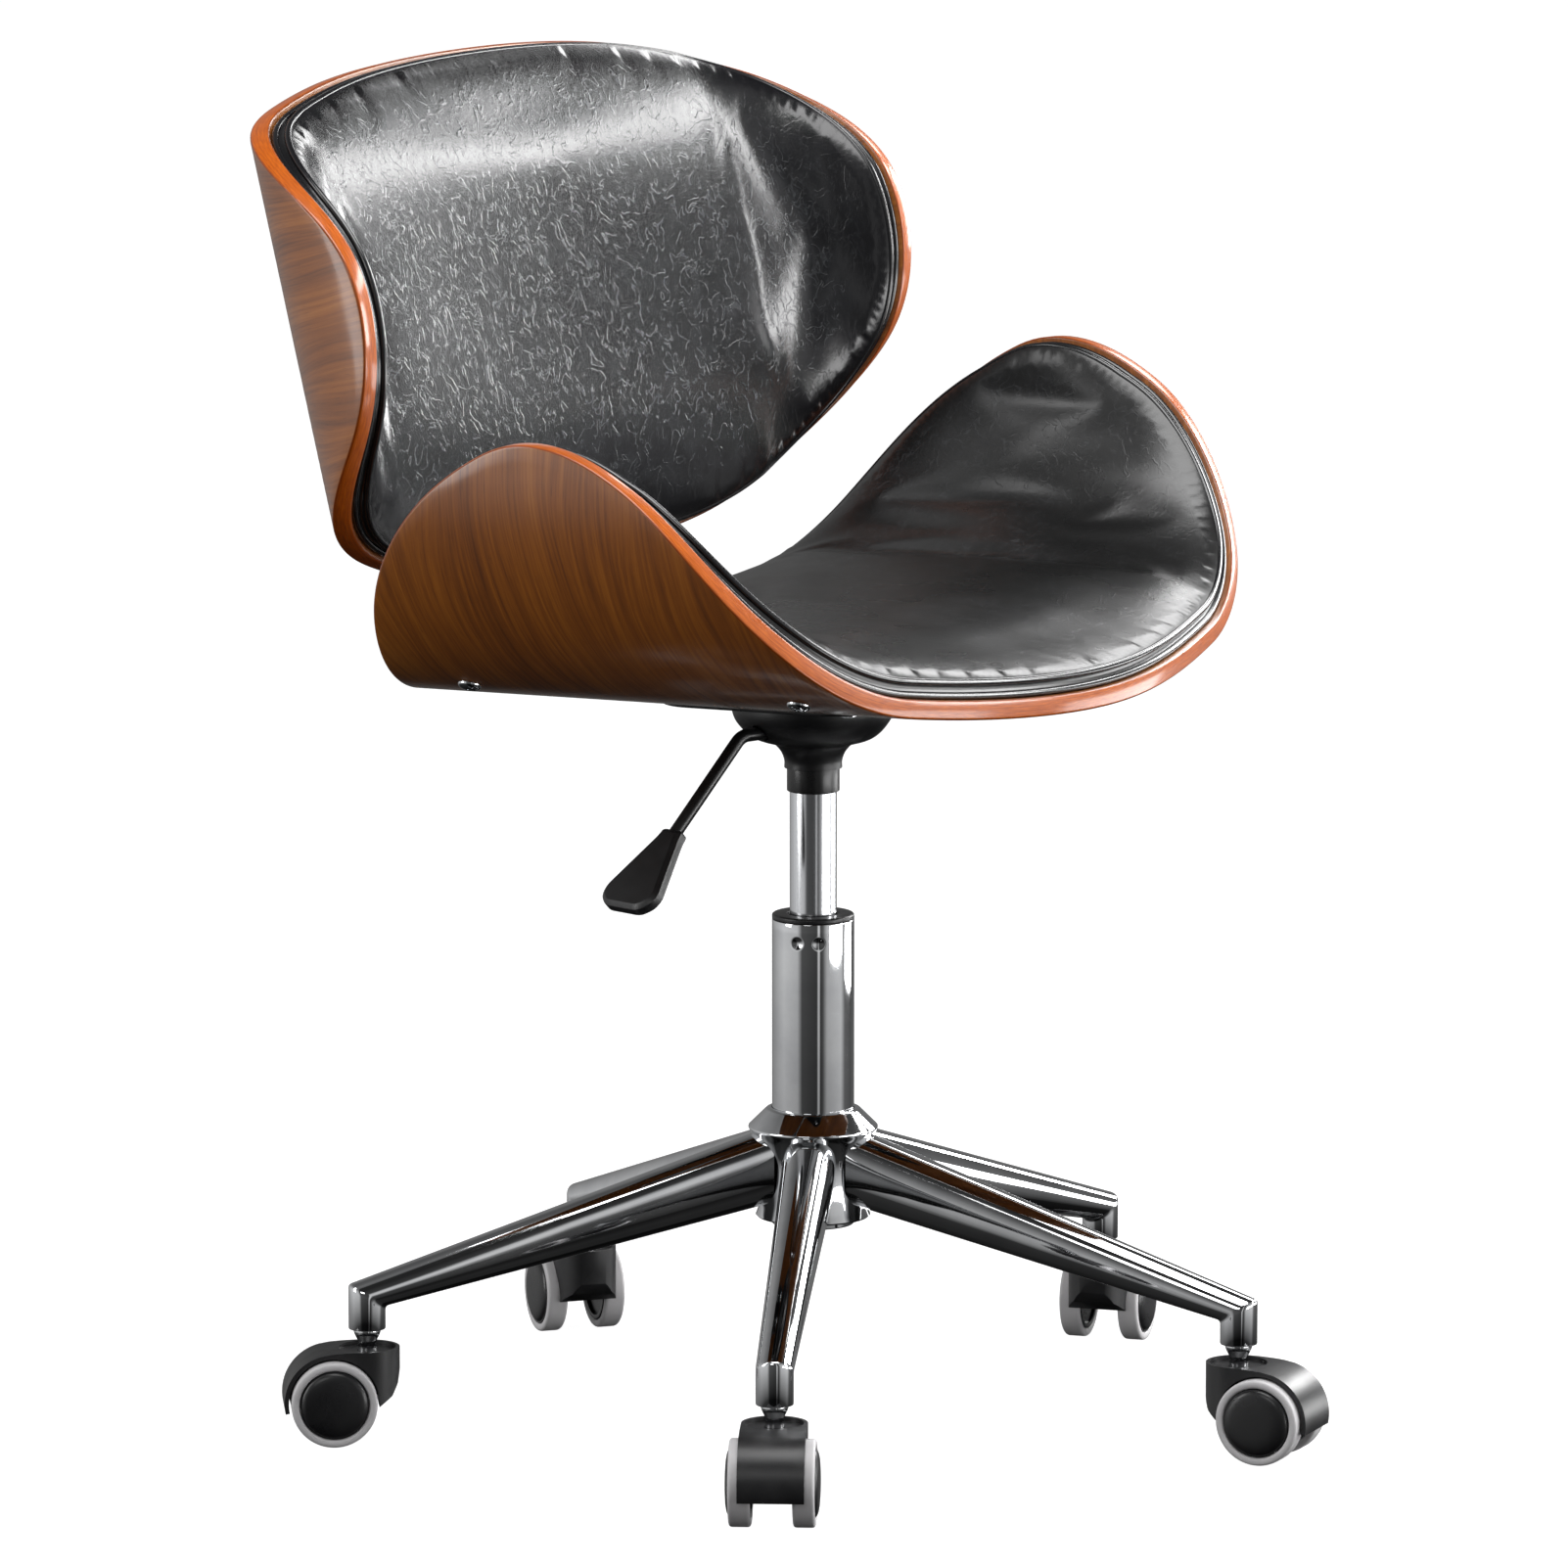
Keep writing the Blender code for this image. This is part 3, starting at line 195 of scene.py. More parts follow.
def walnutFinish(name, tone):
    board = Surface(name, Coat_Roughness=0.16, Coat_IOR=1.5)
    sheet = board.place("sheetPlace")
    drift = board.noise(board.stretched(sheet, (3.2, 9.0, 1.0)), 1.0, 2.0)
    bend = board.node("ShaderNodeCombineXYZ", {}, {"Y": (drift - 0.5) * 0.055})
    laid = board.shifted(sheet, bend)
    bands = board.noise(board.stretched(laid, (1.7, 42.0, 1.0)), 1.0, 3.0, 0.55, 0.4)
    streaks = board.noise(board.stretched(laid, (11.0, 420.0, 1.0)), 1.0, 4.0, 0.62, 0.3)
    pores = board.noise(board.stretched(laid, (70.0, 1900.0, 1.0)), 1.0, 2.0)
    dashes = board.step(pores, 0.60, 0.72)
    grain = bands * 0.45 + streaks * 0.55
    wood = board.ramp(grain, [(0.34, tone["dark"]), (0.47, tone["brown"]), (0.56, tone["warm"]),
                              (0.70, tone["light"])])
    wood = board.mix(dashes * 0.50, wood, tone["pore"])
    cloud = board.noise(board.stretched(sheet, (5.0, 5.0, 1.0)), 1.0, 2.0)
    wood = board.mix(board.step(cloud, 0.35, 0.75) * 0.35, wood, tone["brown"])
    relief = streaks * 0.5 - dashes * 0.6
    board.paint(Base_Color=wood, Coat_Weight=board.step(cloud, 0.2, 0.8, 0.75, 1.0),
                Roughness=0.34 + (1.0 - grain) * 0.22, Normal=board.bump(relief, 0.00010, 0.35))
    return board.material


def plyEdgeFinish():
    board = Surface("plyEdge", Coat_Roughness=0.12, Coat_IOR=1.5, Specular_IOR_Level=0.25)
    sheet = board.place("sheetPlace")
    layer = board.node("ShaderNodeSeparateXYZ", {}, {0: sheet}, "Z")
    wave = board.noise(board.stretched(sheet, (9.0, 9.0, 300.0)), 1.0, 2.0)
    layers = layer * (1.0 / shell["veneer"]) + wave * 0.25
    glue = board.step(layers.combine("PINGPONG", layers, 0.5), 0.02, 0.14, 1.0, 0.0)   # dark between layers
    fibre = board.noise(board.stretched(sheet, (120.0, 120.0, 1400.0)), 1.0, 3.0)
    wood = board.ramp(fibre, [(0.30, (0.34, 0.062, 0.002)), (0.55, (0.48, 0.098, 0.003)),
                              (0.80, (0.58, 0.140, 0.006))])
    wood = board.mix(glue * 0.35, wood, (0.18, 0.032, 0.002))
    outer = board.step(abs(layer - shell["ply"] / 2), shell["ply"] / 2 - shell["edge"], shell["ply"] / 2)
    wood = board.mix(outer * 0.75, wood, (0.10, 0.014, 0.001))
    board.paint(Base_Color=wood, Coat_Weight=board.step(fibre, 0.1, 0.9, 0.55, 0.75),
                Roughness=0.30 + fibre * 0.12, Normal=board.bump(fibre, 0.00005, 0.3))
    return board.material


def leatherFinish(name, tone):
    board = Surface(name, Specular_IOR_Level=tone["shine"])
    place = board.place("sheetPlace")
    wander = board.noise(place, 60.0, 2.0, 0.5, 0.0, "Color")
    bent = board.shifted(place, board.stretched(wander, (0.011, 0.011, 0.0)))

    def creases(scale, wide):  # short curved lines, where a noise crosses its middle, kept in places
        across = abs(board.noise(bent, scale, 1.5, 0.5, 0.9) * 2.0 - 1.0)
        broken = board.step(board.noise(place, scale * 1.3, 2.0), 0.40, 0.50)
        return board.step(across, 0.0, wide, 1.0, 0.0) * broken

    crease = creases(70.0, 0.060)
    small = creases(140.0, 0.075)
    depth = board.node("ShaderNodeSeparateXYZ", {}, {0: place}, "Z")
    inner = board.step(depth, tone["rimLow"], tone["rimHigh"])     # 0 on the rolled edge, which is painted plain black there as shade: no grey wear and no lighter creases
    patch = board.step(board.noise(place, 9.0, 3.0, 0.6), tone["patchLow"], tone["patchHigh"])
    # random grey wear patches inside the panel; they are kept off the rolled edge, where the black is painted
    # shade
    wornOutsideShadedRim = patch * inner * tone["wear"]
    folds = board.noise(bent, 60.0, 3.0, 0.55, 0.8)
    shade = board.mix(wornOutsideShadedRim * board.step(folds, 0.3, 0.7), tone["black"], tone["grey"])
    shade = board.mix((crease * 0.9 + small * 0.6) * wornOutsideShadedRim, shade, tone["line"])
    height = folds * 0.50 + (crease * 0.20 + small * 0.08) * (inner * 0.8 + 0.2)
    board.paint(Base_Color=shade, Roughness=tone["rough"] + patch * 0.05 + (1.0 - inner) * tone["rimRough"],
                Normal=board.bump(height, tone["depth"], tone["relief"]))
    return board.material


def floorFinish():
    board = Surface("paleFloor", Emission_Strength=0.985)    # as white as the ground behind it
    place = board.place()
    cloud = board.noise(place, 1.5, 3.0)
    board.paint(Base_Color=board.ramp(cloud, [(0.2, (0.20, 0.20, 0.20)), (0.8, (0.22, 0.22, 0.22))]),
                Emission_Color=board.ramp(cloud, [(0.2, (0.99, 0.99, 0.99)), (0.8, (1.0, 1.0, 1.0))]),
                Roughness=board.step(cloud, 0.2, 0.8, 0.90, 0.98))
    return board.material


finish = {
    "chrome": chromeFinish(),
    "satin": satinFinish(),
    "plastic": mouldedFinish("blackPlastic", (0.010, 0.010, 0.011), (0.017, 0.017, 0.018), 0.38, 1500.0),
    "disc": mouldedFinish("wheelDisc", (0.008, 0.008, 0.009), (0.014, 0.014, 0.015), 0.30, 1900.0),
    "coat": mouldedFinish("blackPowderCoat", (0.009, 0.009, 0.009), (0.015, 0.015, 0.016), 0.30, 1100.0),
    "tyre": mouldedFinish("greyTyre", (0.55, 0.54, 0.55), (0.64, 0.63, 0.64), 0.45, 1300.0),
    "walnut": walnutFinish("walnutVeneer", {
        "dark": (0.130, 0.034, 0.0030), "brown": (0.240, 0.068, 0.0058), "warm": (0.330, 0.100, 0.0090),
        "light": (0.430, 0.150, 0.020), "pore": (0.060, 0.014, 0.0015)}),
    "plyEdge": plyEdgeFinish(),
    # rimLow and rimHigh bound the rolled edge's painted black shade, which gives way to the grey wear inside
    "backLeather": leatherFinish("backLeather", {
        "black": (0.005, 0.005, 0.006), "grey": (0.016, 0.017, 0.019), "line": (0.036, 0.038, 0.041),
        "patchLow": 0.18, "patchHigh": 0.52, "wear": 0.90, "rough": 0.21, "depth": 0.00060, "relief": 0.60,
        "shine": 0.60, "rimLow": 0.0270, "rimHigh": 0.0405, "rimRough": -0.05}),
    "seatLeather": leatherFinish("seatLeather", {
        "black": (0.005, 0.005, 0.005), "grey": (0.010, 0.010, 0.011), "line": (0.030, 0.031, 0.033),
        "patchLow": 0.42, "patchHigh": 0.72, "wear": 0.80, "rough": 0.27, "depth": 0.00040, "relief": 0.40,
        "shine": 0.70, "rimLow": 0.0240, "rimHigh": 0.0330, "rimRough": 0.02}),
    "piping": leatherFinish("pipingLeather", {
        "black": (0.004, 0.004, 0.005), "grey": (0.008, 0.008, 0.009), "line": (0.015, 0.015, 0.016),
        "patchLow": 0.45, "patchHigh": 0.80, "wear": 0.50, "rough": 0.20, "depth": 0.00020, "relief": 0.30,
        "shine": 0.80, "rimLow": 0.0500, "rimHigh": 0.0600, "rimRough": 0.0}),
}
print("finishes made")


# Shape building


def turns(sides):  # angles evenly round a circle
    return [i * 2 * pi / sides for i in range(sides)]


def loft(rings):  # a closed skin through rings of as many points each
    bm = bmesh.new()
    rows = [[bm.verts.new(point) for point in ring] for ring in rings]
    for low, high in zip(rows, rows[1:]):
        for i in range(len(low)):
            j = (i + 1) % len(low)
            bm.faces.new((low[i], low[j], high[j], high[i]))
    bm.faces.new(rows[0])
    bm.faces.new(rows[-1])
    return bm


def turned(profile, sides=96):  # a solid of revolution about Z
    bm = bmesh.new()
    rows = []
    for radius, height in profile:
        if radius == 0:
            rows.append([bm.verts.new((0, 0, height))] * sides)
            continue
        rows.append([bm.verts.new((radius * cos(a), radius * sin(a), height)) for a in turns(sides)])
    pairs = list(zip(rows, rows[1:])) + ([(rows[-1], rows[0])] if profile[0][0] > 0 else [])
    for low, high in pairs:
        for i in range(sides):
            j = (i + 1) % sides
            corners = list(dict.fromkeys((low[i], low[j], high[j], high[i])))
            if len(corners) > 2:
                bm.faces.new(corners)
    return bm


def cornerPoint(start, corner, end, t):  # on the curve that rounds a corner off
    return start * (1 - t) ** 2 + corner * (2 * t * (1 - t)) + end * t * t


def softened(points, radius, steps=3, closed=False):  # an outline with its corners rounded off
    out = []
    count = len(points)
    for i, point in enumerate(points):
        if not closed and i in (0, count - 1):
            out.append(tuple(point))
            continue
        here = Vector(point)
        back = Vector(points[i - 1]) - here
        ahead = Vector(points[(i + 1) % count]) - here
        cut = min(radius, back.length * 0.45, ahead.length * 0.45)
        start, end = here + back.normalized() * cut, here + ahead.normalized() * cut
        for t in (s / steps for s in range(steps + 1)):
            out.append(tuple(cornerPoint(start, here, end, t)))
    return out


def arc(middle, radius, start, end, steps):
    angles = [start + (end - start) * i / steps for i in range(steps + 1)]
    return [(middle[0] + radius * cos(a), middle[1] + radius * sin(a)) for a in angles]


def rectangle(left, low, right, high):
    return [(left, low), (right, low), (right, high), (left, high)]


def hexagon(radius):  # to the middle of its flats
    return [(radius / cos(pi / 6) * cos(a), radius / cos(pi / 6) * sin(a)) for a in turns(6)]


def curveThrough(line, steps):  # the first and the last point only steer the curve
    out = []
    for a, b, c, d in zip(line, line[1:], line[2:], line[3:]):
        for t in (s / steps for s in range(steps)):
            out.append(0.5 * (2 * b + (c - a) * t + (2 * a - 5 * b + 4 * c - d) * t ** 2
                              + (3 * b - a - 3 * c + d) * t ** 3))
    return out + [line[-2]]


def smoothLine(points, steps=6):  # a curve from the first point to the last
    line = [np.array(p, float) for p in points]
    line = [2 * line[0] - line[1], *line, 2 * line[-1] - line[-2]]
    return [tuple(p) for p in curveThrough(line, steps)]


def squareTo(run):  # unit directions square to a flat line's run
    return np.stack([run[:, 1], -run[:, 0]], axis=1) / np.hypot(run[:, 0], run[:, 1])[:, None]


def drawnIn(outline, inset):  # a closed outline, moved inwards square to itself
    flat = np.array(outline)
    normal = squareTo(np.roll(flat, -1, axis=0) - np.roll(flat, 1, axis=0))
    outward = np.sign(((flat - flat.mean(axis=0)) * normal).sum())
    return flat - normal * outward * inset


def slab(outline, levels, place=lambda u, v, w: (u, v, w)):  # an outline at several (level, inset) pairs
    return loft([[place(u, v, level) for u, v in drawnIn(outline, inset)] for level, inset in levels])


def alongPath(points):  # each point, with the line's directions before and after it
    path = [Vector(p) for p in points]
    runs = [(b - a).normalized() for a, b in zip(path, path[1:])]
    return zip(path, [runs[0], *runs], [*runs, runs[-1]])


def bar(points, radius, sides):  # a round bar along points, mitred where it bends
    rings = []
    across = None
    for point, before, after in alongPath(points):
        along = (before + after).normalized()
        if across is None:
            across = along.orthogonal().normalized()
        across = (across - along * across.dot(along)).normalized()
        other = along.cross(across)
        rings.append([point + across * (radius * cos(a)) + other * (radius * sin(a)) for a in turns(sides)])
    return loft(rings)


def softBar(points, radius, end, sides):  # the same, with both ends rounded over
    bm = bar(points, radius, sides)
    bmesh.ops.recalc_face_normals(bm, faces=bm.faces)
    caps = [f for f in bm.faces if len(f.verts) == sides]
    edges = [e for f in caps for e in f.edges]
    bmesh.ops.bevel(bm, geom=edges, offset=end, segments=3, affect="EDGES", profile=0.5)
    return bm


def placed(name, data):
    obj = bpy.data.objects.new(name, data)
    scene.collection.objects.link(obj)
    return obj


def altered(obj, kind, **settings):  # with a modifier
    modifier = obj.modifiers.new(kind.lower(), kind)
    for key, value in settings.items():
        setattr(modifier, key, value)
    return modifier


def carved(body, tools, operation="DIFFERENCE"):
    holder = placed("work", meshOf(body, "work"))
    helpers = [placed("tool", meshOf(tool, "tool")) for tool in tools]
    for helper in helpers:
        altered(holder, "BOOLEAN", object=helper, operation=operation, solver="EXACT")
    bm = bmeshOf(holder)
    for obj in [holder, *helpers]:
        bpy.data.objects.remove(obj, do_unlink=True)
    return bm


def bmeshOf(obj):  # the object's shape with its modifiers worked in
    bpy.context.view_layer.update()
    mesh = bpy.data.meshes.new_from_object(obj.evaluated_get(bpy.context.evaluated_depsgraph_get()))
    mesh.materials.clear()
    bm = bmesh.new()
    bm.from_mesh(mesh)
    bpy.data.meshes.remove(mesh)
    return bm


def meshOf(bm, name, smooth=38):
    bmesh.ops.remove_doubles(bm, verts=bm.verts, dist=1e-6)
    bmesh.ops.dissolve_degenerate(bm, edges=bm.edges, dist=1e-7)
    bmesh.ops.recalc_face_normals(bm, faces=bm.faces)
    mesh = bpy.data.meshes.new(name)
    bm.to_mesh(mesh)
    bm.free()
    mesh.shade_smooth()
    mesh.set_sharp_from_angle(angle=radians(smooth))
    return mesh


def addPiece(name, shape, look, body, place, stands="", smooth=38, bevel=0.0):
    mesh = shape if isinstance(shape, bpy.types.Mesh) else meshOf(shape, name, smooth)
    mesh.transform(place)
    if place.determinant() < 0:
        mesh.flip_normals()
    obj = placed(name, mesh)
    if not mesh.materials:
        mesh.materials.append(finish[look])
    if bevel:
        altered(obj, "BEVEL", width=bevel, segments=2, limit_method="ANGLE", angle_limit=radians(32),
                harden_normals=True)
    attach(obj, body)
    if stands:
        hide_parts(stands)
    return obj


def moved(bm, matrix):
    bmesh.ops.transform(bm, matrix=matrix, verts=bm.verts)
    return bm


def joined(*shapes):  # several closed shapes in one piece
    whole = bmesh.new()
    for bm in shapes:
        mesh = bpy.data.meshes.new("part")
        bm.to_mesh(mesh)
        bm.free()
        whole.from_mesh(mesh)
        bpy.data.meshes.remove(mesh)
    return whole


# Legs and hub

leg = {
    "rootRadius": 0.0275, "rootTop": 0.1765, "rootBottom": 0.1314, "rootWidth": 0.0320,
    "socketRadius": 0.0110, "socketBottom": 0.0667, "mitreHeight": 0.0868, "mitreSlope": 0.61,
    "squareness": 0.75, "sides": 64, "elbow": 0.0022, "lip": 0.0007, "bore": 0.0058, "boreDepth": 0.024,
}


def legShape(reach):
    top, bottom, radius, power = leg["rootTop"], leg["rootBottom"], leg["socketRadius"], leg["squareness"]
    middle, half = (top + bottom) / 2, (top - bottom) / 2
    root, mitre = [], []
    for i in range(leg["sides"]):
        turn = (i + 0.5) * 2 * pi / leg["sides"]
        across, upward = (copysign(abs(share) ** power, share) for share in (cos(turn), sin(turn)))
        outward = radius * -sin(turn)
        root.append(Vector((across * leg["rootWidth"] / 2, -leg["rootRadius"], middle + upward * half)))
        mitre.append(Vector((radius * cos(turn), -reach + outward,
                             leg["mitreHeight"] - leg["mitreSlope"] * outward)))
    rings = [root, [a.lerp(b, 0.5) for a, b in zip(root, mitre)]]
    for t in (0, 0.2, 0.4, 0.6, 0.8, 1.0):  # the leg turns down into its socket
        ring = []
        for a, b in zip(root, mitre):
            start = b + (a - b).normalized() * leg["elbow"]
            end = b - Vector((0, 0, leg["elbow"]))
            ring.append(cornerPoint(start, b, end, t))
        rings.append(ring)

    low, lip, bore = leg["socketBottom"], leg["lip"], leg["bore"]
    for height, far in ((low + lip, radius), (low + lip * 0.3, radius - lip * 0.3), (low, radius - lip),
                        (low, bore + lip), (low + lip, bore), (low + leg["boreDepth"], bore)):
        scale = far / radius
        rings.append([Vector((p.x * scale, -reach + (p.y + reach) * scale, height)) for p in mitre])
    return loft(rings)


hub = {
    "bore": 0.0248, "bottom": 0.1225, "top": 0.1885, "edge": 0.0010,
    "flare": ((0.0342, 0.1225), (0.0318, 0.1300), (0.0303, 0.1380), (0.0297, 0.1470), (0.0300, 0.1560),
              (0.0317, 0.1640), (0.0348, 0.1710), (0.0384, 0.1758)),
    "rim": 0.0386, "rimLow": 0.1762, "rimHigh": 0.1772, "neck": 0.0258, "chamfer": (0.0022, 0.0008),
}


def hubShape():
    edge, (wide, deep) = hub["edge"], hub["chamfer"]
    bottom = [(hub["bore"], hub["bottom"]), (hub["flare"][0][0] - edge, hub["bottom"])]
    flare = [(r, z) if i else (r, z + edge) for i, (r, z) in enumerate(hub["flare"])]
    top = softened([flare[-1], (hub["rim"], hub["rimLow"]), (hub["rim"], hub["rimHigh"]),
                    (hub["neck"] + wide, hub["top"] - deep), (hub["neck"], hub["top"]),
                    (hub["bore"], hub["top"])], 0.0006)
    return turned(bottom + smoothLine(flare) + top[1:], 128)


stems = {}
for number in range(1, 6):
    stem = boxMiddle(f"caster_stem_{number}")
    axle = boxMiddle(f"caster_axle_{number}")
    stems[number] = {
        "place": Vector((stem.x, stem.y, 0)),
        "reach": hypot(stem.x - column.x, stem.y - column.y),
        "legTurn": atan2(stem.x - column.x, column.y - stem.y),
        "turn": atan2(axle.x - stem.x, stem.y - axle.y),
    }
    addPiece(f"chromeLeg{number}", legShape(stems[number]["reach"]), "chrome", "base",
             chairPlace @ Matrix.Rotation(stems[number]["legTurn"], 4, "Z"), f"base_leg_{number}", 50)
addPiece("chromeHub", hubShape(), "chrome", "base", chairPlace, "base_hub", 30)
print("legs and hub made")


# Column and gas lift

lift = {
    "radius": 0.0245, "wall": 0.0015, "bottom": 0.1180, "top": 0.3021, "floor": 0.0030, "rodBore": 0.0053,
    "rim": 0.0008, "dimpleHeight": 0.2906, "dimpleRadius": 0.0042, "dimpleDepth": 0.0011,
    "dimpleTurns": (-23.0, 7.5), "facing": 212.0,     # degrees, from the side that faces the camera
    "flange": 0.0030, "bushLength": 0.080, "bevel": 0.0008, "cylinder": 0.0140, "cylinderTop": 0.410,
    "cylinderBottom": 0.195, "taperLow": 0.379, "taperLowRadius": 0.0136, "taperTopRadius": 0.0126,
}
clip = {"inner": 0.0052, "outer": 0.0088, "bottom": 0.1148, "top": 0.1158, "slot": 0.0022, "turn": 0.6}


def tubeShape():
    radius, inside, rod, rim = lift["radius"], lift["radius"] - lift["wall"], lift["rodBore"], lift["rim"]
    low, high, floor = lift["bottom"], lift["top"], lift["bottom"] + lift["floor"]
    level, size = lift["dimpleHeight"], lift["dimpleRadius"]
    reach = size * 1.3
    dense = np.linspace(level - reach, level + reach, 25)       # more rings where the dimples are
    lower = softened([(rod, low), (radius, low), (radius, dense[0])], rim)
    upper = softened([(radius, dense[-1]), (radius, high), (inside, high), (inside, floor), (rod, floor)],
                     rim * 0.6)
    bm = turned(lower + [(radius, z) for z in dense[1:]] + upper[1:], 240)
    marks = [radians(lift["facing"] + t + third) for third in (0, 120, 240) for t in lift["dimpleTurns"]]
    for vert in bm.verts:
        x, y, z = vert.co
        if hypot(x, y) < radius - 1e-5 or abs(z - level) > reach:
            continue
        angle = atan2(y, x)
        for mark in marks:
            away = (angle - mark + pi) % (2 * pi) - pi
            far = hypot(away * radius, z - level) / size
            if far < 1:
                sink = lift["dimpleDepth"] * (1 - far * far) ** 1.5
                vert.co.x -= cos(angle) * sink
                vert.co.y -= sin(angle) * sink
    return bm


addPiece("columnTube", tubeShape(), "chrome", "base", chairPlace, "column_tube", 42)

bushInside, bushSleeve = lift["cylinder"] + gap, lift["radius"] - lift["wall"] - gap
bushLow, flangeLow, bevel = lift["top"] - lift["bushLength"], lift["top"] + gap, lift["bevel"]
flangeHigh = flangeLow + lift["flange"]
addPiece("guideBush", turned(softened([
    (bushInside, bushLow), (bushSleeve, bushLow), (bushSleeve, flangeLow), (lift["radius"], flangeLow),
    (lift["radius"], flangeHigh - bevel), (lift["radius"] - bevel, flangeHigh),
    (bushInside + 0.0015, flangeHigh), (bushInside, flangeHigh - 0.0012)], 0.0004, closed=True)),
    "plastic", "base", chairPlace, "guide_bush", 40)

radius, low, high = lift["cylinder"], lift["cylinderBottom"], lift["cylinderTop"]
addPiece("gasCylinder", turned(softened([
    (0, low), (radius - 0.0012, low), (radius, low + 0.0020), (radius, lift["taperLow"] - gap),
    (lift["taperLowRadius"], lift["taperLow"]), (lift["taperTopRadius"], high), (0, high)], 0.0003)),
    "satin", "seat", chairPlace, "gas_cylinder", 40)

ring = turned(softened(rectangle(clip["inner"], clip["bottom"], clip["outer"], clip["top"]), 0.0002,
                       closed=True), 48)
opening = slab(rectangle(0.001, -clip["slot"], 0.012, clip["slot"]), ((0.110, 0), (0.120, 0)))
addPiece("retainingClip", carved(ring, [moved(opening, Matrix.Rotation(clip["turn"], 4, "Z"))]),
         "satin", "lift_rod", chairPlace)
print("column and lift made")


# Mechanism and lever

mechanism = {
    "seatHeight": 0.4409, "pitch": radians(1.6), "width": 0.140, "length": 0.150, "corner": 0.030,
    "thickness": 0.0055, "edge": 0.0008, "boltInset": 0.020, "washer": 0.0011,
    "bolt": (0.0050, 0.0012, 0.0030, 0.0060),      # radius, head's height, shank's radius and length
    "collarBottom": 0.379, "collarHeight": 0.0137, "collarRadius": 0.01565, "tube": 0.0153,
    "tubeTop": 0.4350, "tubeBore": 0.0129, "collarBore": 0.0139,
    "coverRadius": 0.0490, "coverWall": 0.0016, "coverRise": 0.0400,
    "bowl": ((0.0164, 0.0042), (0.0176, 0.0082), (0.0195, 0.0114), (0.0231, 0.0150), (0.0280, 0.0166),
             (0.0332, 0.0181), (0.0367, 0.0198), (0.0398, 0.0223), (0.0430, 0.0258), (0.0458, 0.0300),
             (0.0474, 0.0350)),
    "leanFrom": 0.415, "leanOver": 0.018,
}
seatPlace = (chairPlace @ Matrix.Translation((0, 0, mechanism["seatHeight"]))
             @ Matrix.Rotation(-mechanism["pitch"], 4, "X"))


def roundedRectangle(width, length, corner, steps=12):
    x, y = width / 2 - corner, length / 2 - corner
    outline = []
    for quarter, middle in enumerate(((x, y), (-x, y), (-x, -y), (x, -y))):
        outline += arc(middle, corner, quarter * pi / 2, (quarter + 1) * pi / 2, steps)
    return outline


def hexBolt(radius, height, shank, length):  # pointing up, its head's top at the bottom
    head = slab(hexagon(radius), ((-height, 0.0006), (-height + 0.0005, 0), (-0.0003, 0), (0, 0.0003)))
    washer = softened(rectangle(0, -0.0001, radius * 1.35, mechanism["washer"]), 0.0003)
    return joined(head, turned(rectangle(0, -0.0002, shank, length), 24), turned(washer, 40))


plateLow, edge = -gap - mechanism["thickness"], mechanism["edge"]
addPiece("mountingPlate", slab(
    roundedRectangle(mechanism["width"], mechanism["length"], mechanism["corner"]),
    ((plateLow, edge), (plateLow + edge * 0.3, edge * 0.3), (plateLow + edge, 0), (-gap - edge, 0),
     (-gap - edge * 0.3, edge * 0.3), (-gap, edge))), "coat", "seat", seatPlace, "mounting_plate")
acrossPlate, alongPlate = (mechanism[size] / 2 - mechanism["boltInset"] for size in ("width", "length"))
for count, (sx, sy) in enumerate(((-1, -1), (-1, 1), (1, -1), (1, 1)), 1):
    spot = Vector((sx * acrossPlate, sy * alongPlate, plateLow - mechanism["washer"]))
    addPiece(f"plateBolt{count}", hexBolt(*mechanism["bolt"]), "satin", "seat",
             seatPlace @ Matrix.Translation(spot))

collar, low, tube, high = (mechanism[key] for key in ("collarRadius", "collarBottom", "tube", "tubeTop"))
collarTop = low + mechanism["collarHeight"]
addPiece("taperSocket", turned(softened([
    (mechanism["collarBore"], low), (collar, low), (collar, collarTop), (tube, collarTop + 0.0002),
    (tube, high), (mechanism["tubeBore"], high)], 0.0006, closed=True)), "coat", "seat", chairPlace)


def coverShape():
    bottom = collarTop + gap
    wall = mechanism["coverWall"] / 2
    middle = [(mechanism["tube"] + gap + wall, bottom)]
    middle += [(r, collarTop + gap + rise) for r, rise in mechanism["bowl"]]
    middle += [(mechanism["coverRadius"] - wall - 0.0006, bottom + mechanism["coverRise"]),
               (mechanism["coverRadius"] - wall, mechanism["seatHeight"] - mechanism["thickness"] - 3 * gap)]
    flat = np.array(smoothLine(middle, 4))
    offset = squareTo(np.gradient(flat, axis=0)) * wall
    bm = turned([tuple(p) for p in (*(flat + offset), *(flat - offset)[::-1])], 96)
    for vert in bm.verts:  # the rim follows the plate's pitch
        share = min(max((vert.co.z - mechanism["leanFrom"]) / mechanism["leanOver"], 0.0), 1.0)
        vert.co.z -= vert.co.y * tan(mechanism["pitch"]) * share
    hole = bar([(x, 0, leverPivot.z) for x in lever["hole"]], lever["rod"] + lever["room"], 32)
    return carved(bm, [moved(hole, Matrix.Rotation(lever["turn"], 4, "Z"))])


